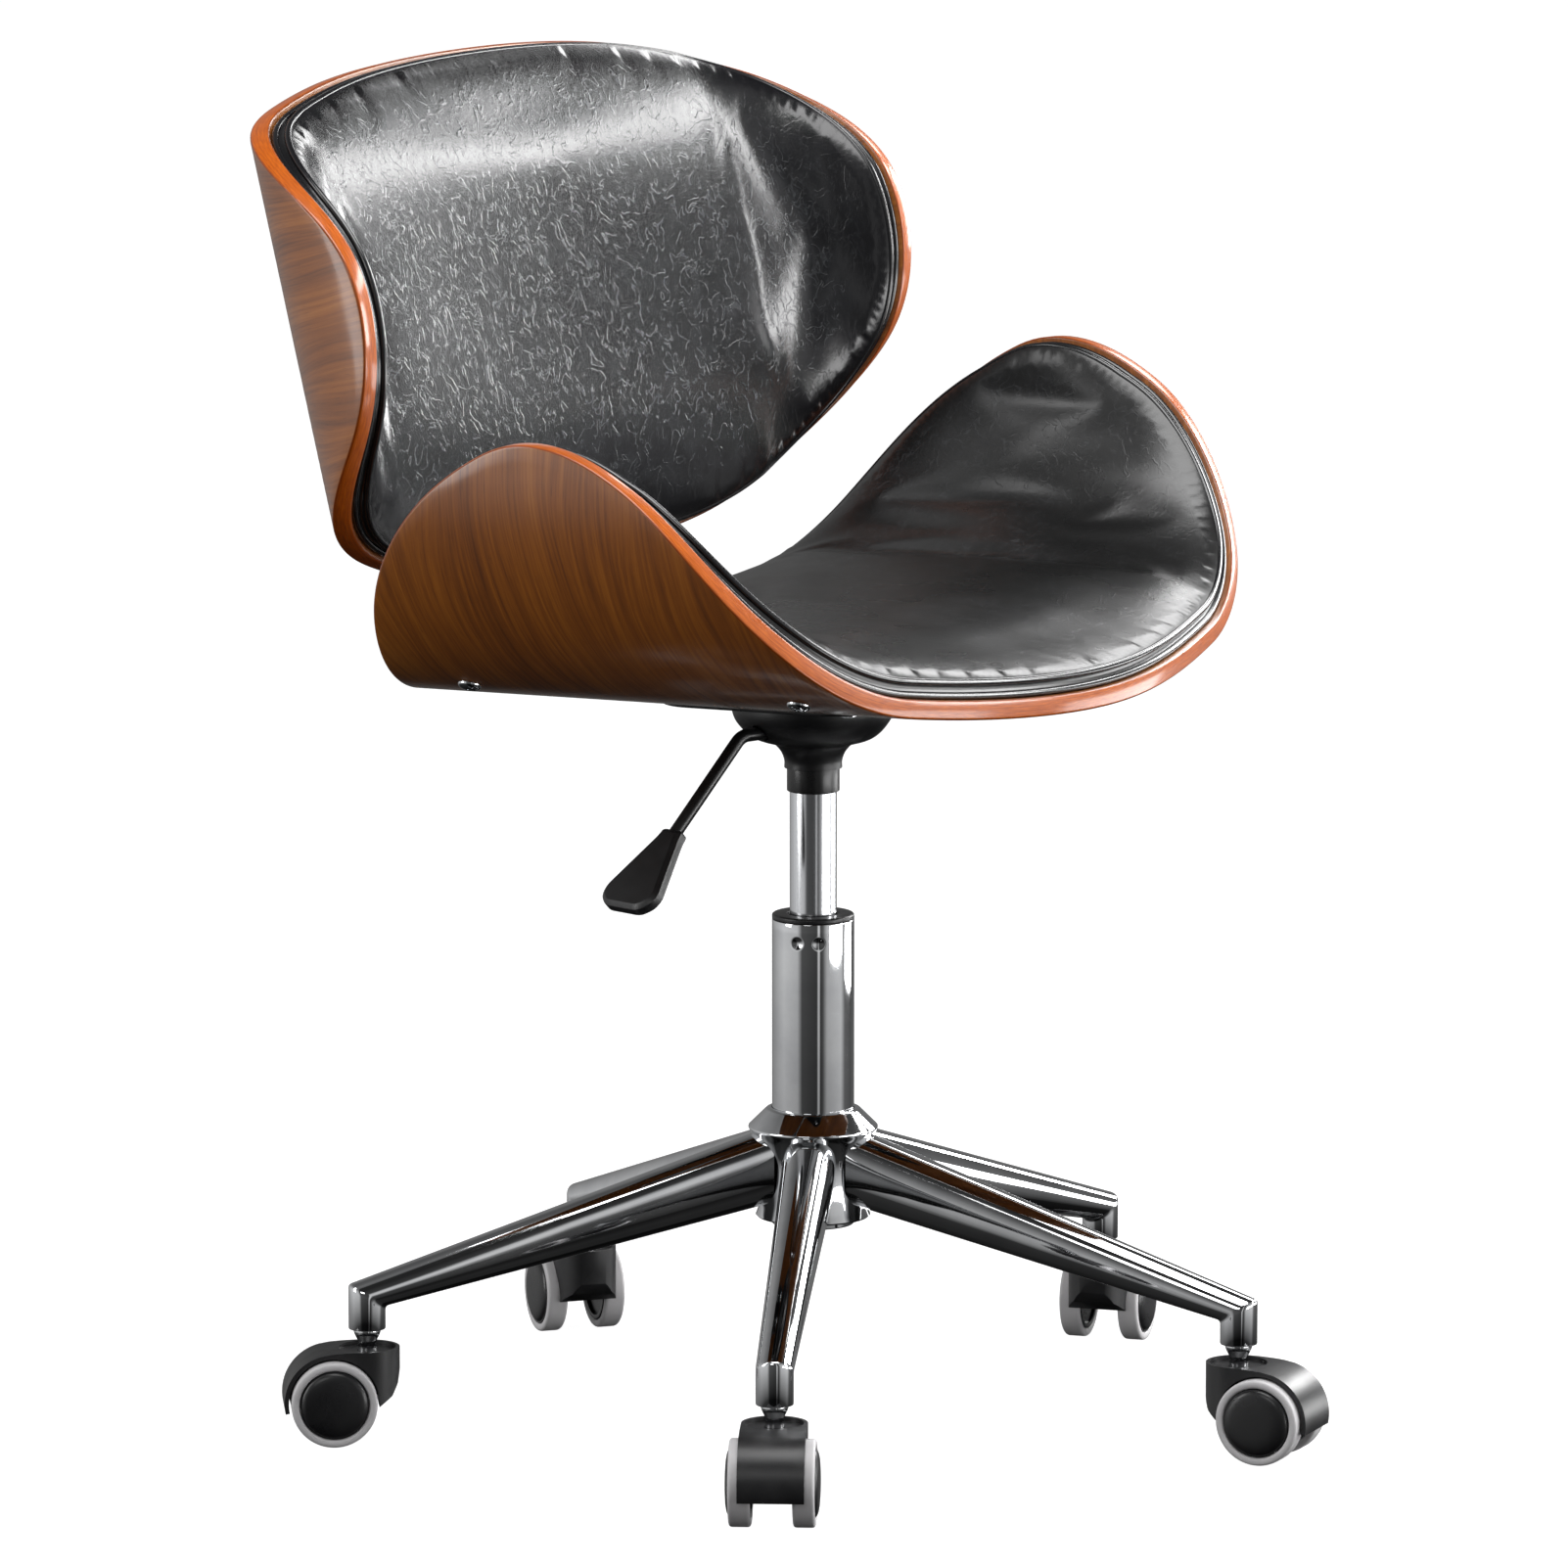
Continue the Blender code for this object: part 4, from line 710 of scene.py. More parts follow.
lever = {
    "turn": radians(165.0), "pivot": 0.0415, "height": 0.4178, "rod": 0.0040,
    "room": 0.0010, "hole": (0.029, 0.058),        # round the rod where it passes through the cover
    "inner": 0.0030, "knee": 0.0580, "drop": radians(44.5), "length": 0.0960, "bend": 0.0120,
    "paddleStart": 0.0735, "paddleLength": 0.0590, "neck": 0.0165, "wide": 0.0450, "thick": 0.0095,
    "bevelWide": 0.0030, "bevelDeep": 0.0022,
    "side": ((0.10, 0.395), (0.78, 1.0), (0.90, 0.93), (1.0, 0.62)),     # of the length, of half the width
}
leverPivot = Vector((lever["pivot"] * cos(lever["turn"]), lever["pivot"] * sin(lever["turn"]),
                     lever["height"]))
leverPlace = chairPlace @ Matrix.Translation(leverPivot) @ Matrix.Rotation(lever["turn"], 4, "Z")
addPiece("mechanismCover", coverShape(), "plastic", "seat", chairPlace, "mechanism_cover", 35)


def alongLever(distance):
    knee = lever["knee"] - lever["pivot"]
    return knee + distance * cos(lever["drop"]), -distance * sin(lever["drop"])


def leverRodShape():
    knee = lever["knee"] - lever["pivot"]
    start = knee - lever["bend"] * tan(lever["drop"] / 2)
    bend = arc((start, -lever["bend"]), lever["bend"], pi / 2, pi / 2 - lever["drop"], 14)
    line = [(-lever["pivot"] - lever["inner"], 0), *bend, alongLever(lever["length"])]
    return softBar([(x, 0, z) for x, z in line], lever["rod"], 0.0006, 28)


def paddleShape():
    length, wide = lever["paddleLength"], lever["wide"] / 2
    side = [(0, lever["neck"] / 2), *((u * length, v * wide) for u, v in lever["side"])]
    outline = softened([(u, -v) for u, v in side] + side[::-1], 0.0050, 5, closed=True)
    half, deep, across = lever["thick"] / 2, lever["bevelDeep"], lever["bevelWide"]
    bevel = ((half, across), (half - 0.0002, across * 0.86), (half - deep * 0.85, 0.0004),
             (half - deep, 0.0001), (half - deep - 0.0004, 0))
    levels = [(-level, inset) for level, inset in bevel] + list(bevel[::-1])
    start = alongLever(lever["paddleStart"])
    place = Matrix.Translation((start[0], 0, start[1])) @ Matrix.Rotation(lever["drop"], 4, "Y")
    return moved(slab(outline, levels), place)


addPiece("leverRod", leverRodShape(), "coat", "lever", leverPlace, "lever_rod")
addPiece("leverPaddle", paddleShape(), "plastic", "lever", leverPlace, "lever_paddle", 24)
print("mechanism and lever made")


# Bent shells. A place on a sheet is (across, along, depth): across the bend, along it, and inwards.

seatSheet = {
    "outline": ((0.0, 0.203), (0.158, 0.178), (0.281, 0.138), (0.379, 0.065), (0.397, -0.030),
                (0.287, -0.130), (0.0, -0.191)),
    "bends": ((0.1740, 1.1400), (0.2080, 0.1516)),
}
backSheet = {
    "outline": ((0.0, 0.3105), (0.160, 0.3000), (0.283, 0.262), (0.354, 0.189), (0.328, 0.090),
                (0.189, 0.015), (0.0, 0.0)),
    "bends": ((0.2040, 1.8000), (0.1500, 0.1096)),
}
foot = {"y": 0.1880, "height": 0.5023, "lean": radians(14.25)}    # the lower end of the back, on its middle
backPlace = (chairPlace @ Matrix.Translation((0, foot["y"], foot["height"]))
             @ Matrix.Rotation(-foot["lean"], 4, "X")
             @ Matrix(((1, 0, 0, 0), (0, 0, -1, 0), (0, 1, 0, 0), (0, 0, 0, 1))))
seatPlaceFlipped = seatPlace @ Matrix.Scale(-1, 4, (0, 1, 0))


def sheetEdge(sheet):  # the whole outline, closed
    points = [np.array(p) for p in sheet["outline"]]
    mirror = np.array((-1, 1))
    half = np.array(curveThrough([points[1] * mirror, *points, points[-2] * mirror], 24))
    return np.vstack([half, half[-2:0:-1] * (-1, 1)])


def sheetRing(sheet, inset, count):  # evenly spaced points, drawn in from the outline
    drawn = drawnIn(sheetEdge(sheet), inset)
    closed = np.vstack([drawn, drawn[:1]])
    walked = np.concatenate([[0], np.cumsum(np.hypot(*np.diff(closed, axis=0).T))])
    wanted = np.arange(count) * walked[-1] / count
    return np.stack([np.interp(wanted, walked, closed[:, i]) for i in (0, 1)], axis=1)


def sheetMiddle(sheet):
    return np.array((0.0, (sheet["outline"][0][1] + sheet["outline"][-1][1]) / 2))


def bent(sheet, flat, depth):  # flat places on the sheet, at a depth, to (x, along, height)
    flat = np.atleast_2d(flat)
    left = np.abs(flat[:, 0])
    x, height, slope = np.zeros_like(left), np.zeros_like(left), np.zeros_like(left)
    for length, radius in sheet["bends"]:
        step = np.minimum(left, length)
        turn = slope + step / radius
        x += radius * (np.sin(turn) - np.sin(slope))
        height += radius * (np.cos(slope) - np.cos(turn))
        slope = turn
        left = left - step
    x += left * np.cos(slope)
    height += left * np.sin(slope)
    side = np.where(flat[:, 0] < 0, -1.0, 1.0)
    x = side * (x - depth * np.sin(slope))
    return np.stack([x, flat[:, 1], height + depth * np.cos(slope)], axis=1)


def sheetMesh(name, points, faces, places, outwards=True):
    # with each point's own place on the flat sheet, for its grain, and its faces turned outwards
    mesh = bpy.data.meshes.new(name)
    mesh.from_pydata(points.tolist(), [], faces)
    layer = mesh.attributes.new("sheetPlace", "FLOAT_VECTOR", "POINT")
    layer.data.foreach_set("vector", np.asarray(places, dtype=np.float32).ravel())
    if outwards:
        bm = bmesh.new()
        bm.from_mesh(mesh)
        bmesh.ops.recalc_face_normals(bm, faces=bm.faces)
        bm.to_mesh(mesh)
        bm.free()
    mesh.shade_smooth()
    return mesh


def shellMesh(name, sheet):
    ply, edge, around = shell["ply"], shell["edge"], shell["around"]
    corner = [(edge * (1 - sin(t)), edge * (1 - cos(t))) for t in (i * pi / 8 for i in range(5))]
    rim = corner + [(0, ply / 2)] + [(inset, ply - depth) for inset, depth in corner[::-1]]
    middle = sheetMiddle(sheet)
    face = sheetRing(sheet, edge, around)
    shares = (1 - np.arange(1, shell["inwards"] + 1) / (shell["inwards"] + 0.5))
    rows = [(middle + (face - middle) * s, 0.0) for s in shares[::-1]]
    rows += [(sheetRing(sheet, inset, around), depth) for inset, depth in rim]
    rows += [(middle + (face - middle) * s, ply) for s in shares]
    places = np.vstack([np.column_stack([flat, np.full(around, depth)]) for flat, depth in rows])
    points = np.vstack([bent(sheet, flat, depth) for flat, depth in rows])
    faces, looks = [], []
    last = len(rows) - 1
    firstRim, lastRim = len(shares) + 1, len(shares) + len(rim) - 2
    for row in range(last):
        for i in range(around):
            j = (i + 1) % around
            faces.append((row * around + i, row * around + j, (row + 1) * around + j, (row + 1) * around + i))
        looks += [1 if firstRim <= row < lastRim else 0] * around
    faces += [tuple(range(around)), tuple(range(last * around, (last + 1) * around))]
    looks += [0, 0]
    mesh = sheetMesh(name, points, faces, places)
    mesh.materials.append(finish["walnut"])
    mesh.materials.append(finish["plyEdge"])
    mesh.polygons.foreach_set("material_index", looks)
    return mesh


addPiece("seatShell", shellMesh("seatShell", seatSheet), "walnut", "seat", seatPlaceFlipped, "seat_shell")
addPiece("backShell", shellMesh("backShell", backSheet), "walnut", "seat", backPlace, "back_shell")
print("shells made")


# Cushions: a panel over foam, two pipings, and a drawn-in band between them

pad = {
    "margin": 0.0030, "edge": 0.0120, "piping": 0.0044, "waist": 0.0030, "spacing": 0.0062, "flatness": 4.0,
    "shoulder": 0.62, "cap": 0.0050, "frames": 18,
    "cloth": {"quality": 6, "mass": 0.25, "tension_stiffness": 25.0, "compression_stiffness": 25.0,
              "shear_stiffness": 12.0, "bending_stiffness": 8.0, "use_pressure": True,
              "uniform_pressure_force": 4.0, "vertex_group_mass": "pinned"},
}


def triangulated(border, middle, step):  # flat triangles inside a border, even but for the last strip
    around = len(border)
    low, high = border.min(axis=0) - step, border.max(axis=0) + step
    columns, rows = (int(n) for n in (high - low) / (step, step * sqrt(3) / 2))
    row, number = np.mgrid[0:rows, 0:columns]
    lattice = np.column_stack([(low[0] + (number + row % 2 / 2) * step).ravel(),
                               (low[1] + row * step * sqrt(3) / 2).ravel()])
    reach = np.hypot(*(border - middle).T).mean()
    inside = outwardShare(lattice, border, middle) < 1 - 0.75 * step / reach
    triangles = []
    for r in range(rows - 1):
        for c in range(columns - 1):
            a, b = r * columns + c, (r + 1) * columns + c
            pair = ((a, a + 1, b), (a + 1, b + 1, b)) if r % 2 == 0 else ((a, a + 1, b + 1), (a, b + 1, b))
            triangles += [t for t in pair if inside[list(t)].all()]
    used = sorted({i for t in triangles for i in t})
    renumbered = {old: around + new for new, old in enumerate(used)}
    triangles = [tuple(renumbered[i] for i in t) for t in triangles]
    flat = np.vstack([border, lattice[used]])
    return flat, triangles + zipped(flat, around, triangles)


def zipped(flat, around, triangles):  # the strip between the border and the triangles' own edge
    follows = dict.fromkeys(edge for a, b, c in triangles for edge in ((a, b), (b, c), (c, a)))
    loose = {a: b for a, b in follows if (b, a) not in follows}

    def apart(a, b):
        return np.hypot(*(flat[a] - flat[b]))

    start = min(loose, key=lambda i: apart(i, 0))
    inner = [start]
    while loose[inner[-1]] != start:
        inner.append(loose[inner[-1]])
    outer = list(range(around))
    if turning(flat[outer]) != turning(flat[inner]):
        inner = [start] + inner[:0:-1]
    strip, i, j = [], 0, 0
    while i < around or j < len(inner):
        a, b = outer[i % around], inner[j % len(inner)]
        nextA, nextB = outer[(i + 1) % around], inner[(j + 1) % len(inner)]
        if j == len(inner) or (i < around and apart(nextA, b) < apart(nextB, a)):
            strip.append((a, nextA, b))
            i += 1
        else:
            strip.append((a, nextB, b))
            j += 1
    return strip


def turning(loop):
    after = np.roll(loop, -1, axis=0)
    return bool((loop[:, 0] * after[:, 1] - loop[:, 1] * after[:, 0]).sum() > 0)


def outwardShare(flat, border, middle):  # 0 in the middle, 1 at the border
    edge = border - middle
    angle = np.arctan2(edge[:, 1], edge[:, 0])
    order = np.argsort(angle)
    angle, far = angle[order], np.hypot(*edge.T)[order]
    angle = np.concatenate([angle[-1:] - 2 * pi, angle, angle[:1] + 2 * pi])
    far = np.concatenate([far[-1:], far, far[:1]])
    away = flat - middle
    return np.hypot(*away.T) / np.interp(np.arctan2(away[:, 1], away[:, 0]), angle, far)


def padRim():  # (inset, height above the shell) from the floor up to the panel's edge
    margin, half, waist = pad["margin"], pad["piping"] / 2, pad["waist"]
    return [(margin + half, 0.0), (margin + half * 0.4, half * 0.6), (margin + waist * 0.8, half * 1.7),
            (margin + waist, pad["edge"] / 2), (margin + waist * 0.8, pad["edge"] - half * 1.7),
            (margin + half * 0.4, pad["edge"] - half * 0.6)]


def swollen(points, faces, places, pinned):  # the cloth over its filling, pinned at its seam
    obj = placed("swelling", sheetMesh("swelling", points, faces, places))
    group = obj.vertex_groups.new(name="pinned")
    group.add([int(i) for i in np.flatnonzero(pinned)], 1.0, "REPLACE")
    cloth = altered(obj, "CLOTH")
    for key, value in pad["cloth"].items():
        setattr(cloth.settings, key, value)
    cloth.settings.effector_weights.gravity = 0.0
    cloth.collision_settings.use_collision = False
    cloth.point_cache.frame_start, cloth.point_cache.frame_end = 1, pad["frames"]
    for number in range(1, pad["frames"] + 1):
        scene.frame_set(number)
    settled = obj.evaluated_get(bpy.context.evaluated_depsgraph_get()).to_mesh()
    after = np.empty(len(points) * 3, dtype=np.float64)
    settled.vertices.foreach_get("co", after)
    scene.frame_set(1)
    bpy.data.objects.remove(obj, do_unlink=True)
    moves = after.reshape(-1, 3) - points
    far = np.maximum(np.linalg.norm(moves, axis=1), 1e-9)
    return points + moves * (np.tanh(far / pad["cap"]) * pad["cap"] / far)[:, None]     # not past the cap


def padMesh(name, sheet, crown, look):
    floor, middle = shell["ply"] + gap, sheetMiddle(sheet)
    around = int(round(sum(hypot(*d) for d in np.diff(sheetEdge(sheet), axis=0)) / pad["spacing"]))
    panelEdge = sheetRing(sheet, pad["margin"] + pad["piping"] / 2, around)
    flat, faces = triangulated(panelEdge, middle, pad["spacing"])
    share = np.minimum(outwardShare(flat, panelEdge, middle), 1.0)
    depth = floor + pad["edge"] + (crown - pad["edge"]) * (1 - share ** pad["flatness"]) ** pad["shoulder"]
    rings = [(sheetRing(sheet, inset, around), floor + height) for inset, height in padRim()]
    under, underFaces = triangulated(rings[0][0], middle, pad["spacing"] * 4)
    places = [np.column_stack([flat, depth])]
    places += [np.column_stack([ring, np.full(around, level)]) for ring, level in rings[:0:-1]]
    places.append(np.column_stack([under, np.full(len(under), floor)]))
    starts = [0] + list(np.cumsum([len(p) for p in places[:-1]]))
    for above, below in zip(starts, starts[1:]):
        faces += [(above + i, above + (i + 1) % around, below + (i + 1) % around, below + i)
                  for i in range(around)]
    faces += [tuple(starts[-1] + i for i in t) for t in underFaces]
    places = np.vstack(places)
    points = bent(sheet, places[:, :2], places[:, 2])
    pinned = np.ones(len(points), bool)
    pinned[around:len(flat)] = False
    points = swollen(points, faces, places, pinned)
    obj = placed("smoothing", sheetMesh(name, points, faces, places, outwards=False))
    altered(obj, "SUBSURF", levels=1, render_levels=1)
    smooth = meshOf(bmeshOf(obj), name, 180)
    bpy.data.objects.remove(obj, do_unlink=True)
    smooth.materials.append(finish[look])
    return smooth


def pipingMesh(name, sheet, inset, height, radius, count=480, sides=14):
    flat = sheetRing(sheet, inset, count)
    depth = shell["ply"] + gap + height
    line = bent(sheet, flat, depth)
    up = bent(sheet, flat, depth + 0.001) - line
    up /= np.linalg.norm(up, axis=1)[:, None]
    run = np.roll(line, -1, axis=0) - np.roll(line, 1, axis=0)
    run /= np.linalg.norm(run, axis=1)[:, None]
    side = np.cross(run, up)
    points, places, faces = [], [], []
    for k, a in enumerate(turns(sides)):
        points.append(line + side * radius * cos(a) + up * radius * sin(a))
        places.append(np.column_stack([flat, np.full(count, depth + radius * 2 * a)]))
        this, following = k * count, (k + 1) % sides * count
        faces += [(this + i, following + i, following + (i + 1) % count, this + (i + 1) % count)
                  for i in range(count)]
    mesh = sheetMesh(name, np.vstack(points), faces, np.vstack(places))
    mesh.materials.append(finish["piping"])
    return mesh


cushions = {
    "seat": {"sheet": seatSheet, "place": seatPlaceFlipped, "crown": 0.0320},
    "back": {"sheet": backSheet, "place": backPlace, "crown": 0.0310},
}
for part, cushion in cushions.items():
    sheet, place, look = cushion["sheet"], cushion["place"], f"{part}Leather"
    obj = addPiece(f"{part}Pad", padMesh(f"{part}Pad", sheet, cushion["crown"], look), look, "seat", place,
                   f"{part}_cushion")
    half = pad["piping"] / 2
    for label, height in (("Lower", half), ("Upper", pad["edge"] - half)):
        addPiece(f"{part}Piping{label}", pipingMesh("piping", sheet, pad["margin"] + half, height, half),
                 "piping", "seat", place)
    print(part, "cushion made")


# Bolts low on the seat's sides, and the bracket behind

bolt = {"arc": 0.2130, "rear": -0.1030, "front": 0.1220, "shank": 0.0030, "length": 0.0100, "head": 0.0070,
        "height": 0.0040, "rim": 0.0006, "socket": 0.0020, "socketDepth": 0.0016}


def sideBoltShape():
    head, height, shank, rim = bolt["head"], bolt["height"], bolt["shank"], bolt["rim"]
    dome = [(head * cos(t) ** 0.8 if t else head, -rim - (height - rim) * sin(t))
            for t in (i * pi / 2 / 8 for i in range(8))]
    body = turned([(0, bolt["length"]), (shank, bolt["length"]), (shank, -gap), (head - 0.0004, -gap),
                   *dome, (0, -height)], 48)
    key = slab(hexagon(bolt["socket"]), ((-height - 0.001, 0), (-height + bolt["socketDepth"], 0)))
    return carved(body, [key])


for end in ("rear", "front"):
    for side, sign in (("left", 1), ("right", -1)):
        middle, inner = (bent(seatSheet, [(sign * bolt["arc"], bolt[end])], depth)[0] for depth in (0, 0.01))
        slope = atan2(middle[0] - inner[0], inner[2] - middle[2])
        place = (seatPlace @ Matrix.Translation((middle[0], -middle[1], middle[2]))
                 @ Matrix.Rotation(-slope, 4, "Y"))
        addPiece(f"sideBolt{end.title()}{side.title()}", sideBoltShape(), "chrome", "seat", place,
                 f"side_bolt_{end}_{side}", 30)

bracket = {
    "width": 0.0600, "thickness": 0.0050, "edge": 0.0008, "start": 0.0850, "riser": 0.0105, "top": 0.1900,
    "bend": 0.0120, "knee": 0.0040, "boltSpread": 0.016, "seatBolts": (0.098, 0.168),
    "backBolts": (0.085, 0.165),
    "boltHead": ((0, 0.004), (0.0028, 0.004), (0.0028, 0), (0.0058, 0), (0.0058, -0.0006), (0.0052, -0.0018),
                 (0.0038, -0.0028), (0.0018, -0.0033), (0, -0.0034)),
}


def underSeat(y, off):
    return mechanism["seatHeight"] - y * tan(mechanism["pitch"]) - off


def behindBack(up, off):
    lean = foot["lean"]
    return foot["y"] + up * sin(lean) + off * cos(lean), foot["height"] + up * cos(lean) - off * sin(lean)


def bracketShape():
    off = gap + bracket["thickness"] / 2
    pitch, lean, start = mechanism["pitch"], foot["lean"], bracket["start"]
    seatRear = -seatSheet["outline"][-1][1]
    riser = seatRear * cos(pitch) + bracket["riser"]
    corner = (riser - bracket["bend"], underSeat(riser, off / cos(pitch)) + bracket["bend"])
    kneeUp = (riser - foot["y"] - off / cos(lean)) / tan(lean)
    bend = arc(corner, bracket["bend"], -pi / 2, 0, 12)
    line = softened([(start, underSeat(start, off / cos(pitch))), *bend, (riser, foot["height"] + kneeUp),
                     behindBack(bracket["top"], off)], bracket["knee"], 4)
    half, wide, edge = bracket["thickness"] / 2, bracket["width"] / 2, bracket["edge"]
    profile = [(half, edge), (half - edge * 0.3, edge * 0.3), (half - edge, 0)]    # height, inset at the side
    rings = []
    for point, before, after in alongPath(line):
        across = Vector((-(before + after).y, (before + after).x)).normalized()
        across /= max(across.dot(Vector((-after.y, after.x))), 0.5)
        ring = []
        for side, flip in ((1, 1), (1, -1), (-1, -1), (-1, 1)):
            for rise, back in profile[::side * flip]:
                spot = point + across * (rise * flip)
                ring.append((side * (wide - back), spot.x, spot.y))
        rings.append(ring)
    return loft(rings)


addPiece("backBracket", bracketShape(), "coat", "seat", chairPlace, "back_bracket", 40, 0.0006)
headOff = bracket["thickness"] + 3 * gap
boltPlaces = []
for x in (-bracket["boltSpread"], bracket["boltSpread"]):
    for y in bracket["seatBolts"]:
        boltPlaces.append(Matrix.Translation((x, y, underSeat(y, headOff)))
                          @ Matrix.Rotation(-mechanism["pitch"], 4, "X"))
    for up in bracket["backBolts"]:
        boltPlaces.append(Matrix.Translation((x, *behindBack(up, headOff)))
                          @ Matrix.Rotation(pi / 2 - foot["lean"], 4, "X"))
for count, place in enumerate(boltPlaces, 1):
    addPiece(f"bracketBolt{count}", turned(bracket["boltHead"], 40), "satin", "seat", chairPlace @ place,
             smooth=30)
print("bolts and bracket made")


# Casters. Each is made trailing towards -Y, with its stem on the Z axis.

caster = {
    "trail": 0.0205, "wheel": 0.0255, "offset": 0.0185, "tyreWidth": 0.0135, "tyreThick": 0.0050,
    "tyreEdge": 0.0026, "dome": 0.0020, "axle": 0.0030, "axleLength": 0.0400, "boss": 0.0065,
    "width": 0.0385, "arch": 0.0268, "fender": 0.0294, "top": 0.0305, "drop": 0.0060, "web": 0.0210,
    "crown": ((-0.0030, 0.0294), (0.0051, 0.0301), (0.0147, 0.0305)),
    "front": ((0, 0.0305), (0, 0.0180), (-0.0016, 0.0095), (-0.0050, 0.0030)),
    "recess": 0.0170, "recessDepth": 0.0025, "boreDepth": 0.0130, "edge": 0.0007,
    "discWall": 0.0025, "discLip": 0.0006, "discEdge": 0.0004, "axleRoom": 0.0010,
    "stem": 0.0055, "stemTop": 0.0230, "stemBase": 0.0060, "stemTip": 0.0010,
    "collar": ((0.00744, 0.0030), (0.0080, 0.0012), (0.0080, 0)),     # radius, below the socket
    "bulge": ((0.965, 0.02), (0.93, 0.34), (0.84, 0.62), (0.70, 0.83), (0.50, 0.95), (0.25, 0.99)),
}
hoodTop = caster["wheel"] + caster["top"]
hoodFloor = hoodTop - caster["recessDepth"]       # where the stem's collar stands


def hoodShape():
    wheel, trail, half, past = caster["wheel"], caster["trail"], caster["width"] / 2, 0.002

    def side(ahead, above, across):
        return across, ahead - trail, above + wheel

    tail = pi + np.arcsin(caster["drop"] / caster["fender"])
    outline = (arc((0, 0), caster["arch"], radians(-6), tail, 60)
               + arc((0, 0), caster["fender"], tail, radians(105), 30)
               + smoothLine(caster["crown"], 5)[1:] + [(trail + half + u, v) for u, v in caster["front"]])
    hood = slab(outline, ((-half - past, 0), (half + past, 0)), side)
    back = trail + caster["fender"] + past
    plan = [(half, -back), *arc((0, 0), half, 0, pi, 48), (-half, -back)]
    hood = carved(hood, [slab(plan, ((-0.001, 0), (hoodTop + past, 0)))], "INTERSECT")
    web = (arc((0, 0), caster["arch"] + 0.001, radians(8), radians(172), 40)
           + arc((0, 0), caster["boss"], radians(200), radians(340), 20))
    body = carved(hood, [slab(web, ((-caster["web"] / 2, 0), (caster["web"] / 2, 0)), side)], "UNION")
    hollows = ((caster["recess"], hoodFloor, hoodTop + past, 96),
               (caster["stem"] + gap, hoodFloor - caster["boreDepth"], hoodTop, 48))
    return carved(body, [turned(rectangle(0, low, radius, high), sides)
                         for radius, low, high, sides in hollows])


def tyreShape():
    outer, side = caster["wheel"], caster["tyreWidth"] / 2 - 0.0003
    inner = outer - caster["tyreThick"]
    return turned(softened(rectangle(inner, -side, outer, side), caster["tyreEdge"], 6, closed=True), 120)


def discShape():
    half, boss = caster["tyreWidth"] / 2, caster["boss"]
    wall, lip, edge = caster["discWall"], caster["discLip"], caster["discEdge"]
    rim, back, flush = caster["wheel"] - caster["tyreThick"] - gap, wall - half, edge - half
    face = caster["web"] / 2 + gap - caster["offset"]
    bore = caster["axle"] + gap
    end = caster["axleLength"] / 2 - caster["offset"] + caster["axleRoom"]
    dome = [(rim * share, half - lip + (caster["dome"] + lip) * rise) for share, rise in caster["bulge"]]
    cup = softened([(boss, back), (rim - wall, back), (rim - wall, flush), (rim, flush),
                    (rim, half - lip)], edge)
    middle = (0, half + caster["dome"])
    return turned([(0, end), (bore, end), (bore, face), (boss, face), *cup, *dome, middle], 120)


def stemShape():
    stem, tip, socket = caster["stem"], caster["stemTip"], leg["socketBottom"]
    low, top, under = hoodFloor - caster["boreDepth"] + gap, socket + caster["stemTop"], socket - gap
    return turned(softened([
        (0, low), (stem, low), (stem, hoodFloor + caster["stemBase"]),
        *((radius, under - below) for radius, below in caster["collar"]),
        (stem, under), (stem, top - tip), (stem - tip, top), (0, top)], 0.0003), 64)


hoodMesh, tyreMesh, discMesh, stemMesh = hoodShape(), tyreShape(), discShape(), stemShape()
for number, stem in stems.items():
    place = Matrix.Translation(stem["place"]) @ Matrix.Rotation(stem["turn"], 4, "Z")
    body = f"caster_{number}"
    addPiece(f"casterStem{number}", stemMesh.copy(), "chrome", body, place, f"caster_stem_{number}")
    addPiece(f"casterHood{number}", hoodMesh.copy(), "plastic", body, place, f"caster_housing_{number}", 30,
             caster["edge"])
    for side, sign in (("left", 1), ("right", -1)):
        hinge = (place @ Matrix.Translation((sign * caster["offset"], -caster["trail"], caster["wheel"]))
                 @ Matrix.Rotation(sign * pi / 2, 4, "Y"))
        body = f"wheel_{number}_{side}"
        addPiece(f"wheelDisc{number}{side.title()}", discMesh.copy(), "disc", body, hinge,
                 f"wheel_disc_{number}_{side}", 30)
        addPiece(f"wheelTyre{number}{side.title()}", tyreMesh.copy(), "tyre", body, hinge,
                 f"wheel_tyre_{number}_{side}", 40)
print("casters made")


# Solids that are shown as they are, with better finishes

for name in ("piston_rod", "valve_pin", "thrust_bearing", *(f"caster_axle_{number}" for number in stems)):
    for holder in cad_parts[name].material_slots:
        holder.material = finish["satin"]


# Floor, lights and camera

stage = {
    "floor": 60.0, "heading": radians(32.0),     # which way the camera looks, from +X
    "walls": ((-170, 0.22), (-120, 0.55), (-90, 0.75), (-45, 0.62), (-32, 0.10), (11, 0.06), (14, 0.70),
              (17, 0.70), (20, 0.05), (28, 0.12), (40, 0.60), (85, 0.80), (100, 0.20), (130, 0.12),
              (170, 0.20)),     # degrees from the camera, radiance
    "rise": ((-1.0, 0.02), (-0.50, 0.05), (-0.26, 0.60), (-0.12, 1.0), (0.40, 0.80), (0.75, 0.30),
             (1.0, 0.22)),      # height of the direction, share of the walls' radiance
}
bm = bmesh.new()
bmesh.ops.create_grid(bm, x_segments=8, y_segments=8, size=stage["floor"] / 2)
floorMesh = bpy.data.meshes.new("floor")
bm.to_mesh(floorMesh)
bm.free()
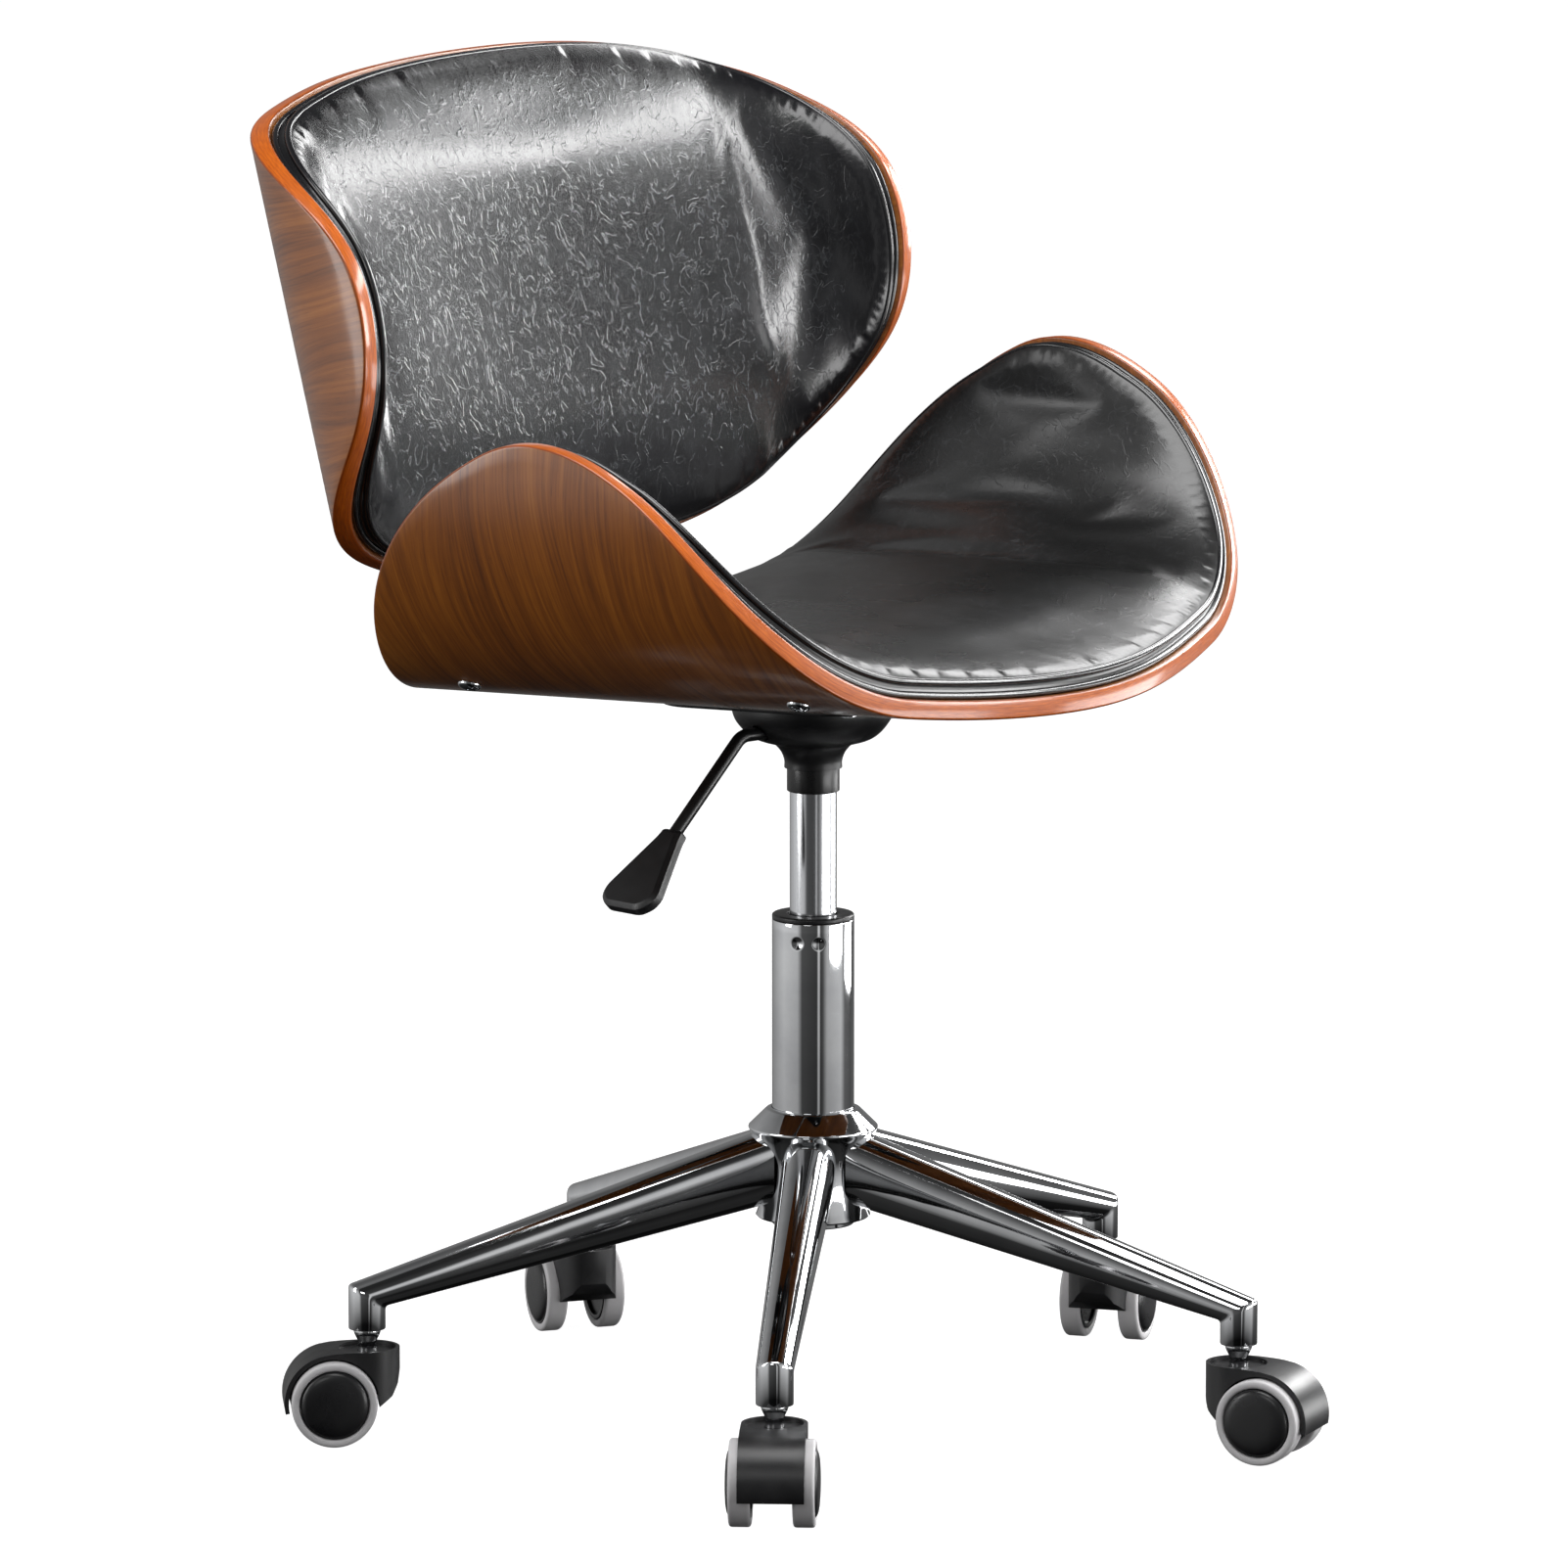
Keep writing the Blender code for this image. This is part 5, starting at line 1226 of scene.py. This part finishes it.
floorMesh.materials.append(floorFinish())
floor = placed("floor", floorMesh)
floor.visible_glossy = floor.visible_diffuse = False

ahead = Vector((cos(stage["heading"]), sin(stage["heading"]), 0))
right = Vector((ahead.y, -ahead.x, 0))


def worldSky():  # white behind the chair; reflections see pale walls, dark towards the camera and below
    world = bpy.data.worlds.new("studio")
    world.use_nodes = True
    board = Board(world.node_tree, "Background")
    look = board.node("ShaderNodeTexCoord", output="Generated")

    def share(axis):
        return board.vector("DOT_PRODUCT", look, tuple(axis), "Value")

    across = share(right)
    turn = across.combine("ARCTAN2", across, share(-ahead))      # from the camera, to its right
    walls = board.ramp(turn * (0.5 / pi) + 0.5, [(0.5 + degrees / 360, (level,) * 3)
                                                 for degrees, level in stage["walls"]])
    rise = board.ramp(share((0.0, 0.0, 1.0)) * 0.5 + 0.5, [(0.5 + up / 2, (level,) * 3)
                                                           for up, level in stage["rise"]])
    glow = board.mix(1.0, walls, rise, "MULTIPLY")
    seen = board.node("ShaderNodeLightPath", output="Is Camera Ray")
    board.paint(Color=board.mix(seen, glow, (1.0, 1.0, 1.0)))
    return world


scene.world = worldSky()
softboxes = {   # its place to the right, towards the camera and up; the height it is aimed at, size, radiance
    "top": ((0.20, 0.45, 2.35), 0.50, (1.5, 1.6), 6.0),
    "rear": ((0.85, -1.75, 1.62), 0.45, (0.6, 0.45), 8.0),
    "left": ((-2.3, 0.7, 1.00), 0.50, (0.8, 1.7), 4.2),
    "leftHigh": ((-1.55, 0.30, 1.95), 0.50, (0.5, 0.4), 5.0),
    "right": ((2.2, -0.02, 0.92), 0.75, (0.44, 0.80), 19.0),
    "behind": ((1.40, -1.68, 0.92), 0.75, (0.44, 0.80), 18.0),
    "arch": ((1.85, -0.88, 1.60), 0.75, (1.6, 0.26), 15.0),
    "low": ((1.85, -0.88, 0.06), 0.45, (1.2, 0.40), 6.0),
    "lowRight": ((2.0, 0.85, 0.08), 0.45, (1.6, 0.40), 8.0),
    "front": ((-1.3, 4.2, 2.5), 0.50, (1.6, 1.2), 4.0),
}


def studioPoint(aside, near, height):  # from the chair's own axis, as the camera sees it
    return Vector((column.x, column.y, 0)) + right * aside - ahead * near + Vector((0, 0, height))


for name, (spot, aim, size, glow) in softboxes.items():
    light = bpy.data.lights.new(f"{name}Softbox", "AREA")
    light.shape = "RECTANGLE"
    light.size, light.size_y = size
    light.energy = glow * size[0] * size[1] * pi
    lamp = placed(f"{name}Softbox", light)
    lamp.location = studioPoint(*spot)
    lamp.rotation_euler = (studioPoint(0, 0, aim) - lamp.location).to_track_quat("-Z", "Y").to_euler()
    lamp.visible_camera = False

view = {"away": 6.5, "side": -0.0173, "height": 1.446, "down": radians(9.29), "lens": 255.3}
camera = placed("camera", bpy.data.cameras.new("camera"))
camera.data.lens = view["lens"]
camera.data.clip_start, camera.data.clip_end = 0.1, 200.0
camera.location = studioPoint(view["side"], view["away"], view["height"])
gaze = ahead * cos(view["down"]) - Vector((0, 0, sin(view["down"])))
camera.rotation_euler = gaze.to_track_quat("-Z", "Y").to_euler()
scene.camera = camera
scene.view_settings.view_transform = "Standard"
print("studio made")
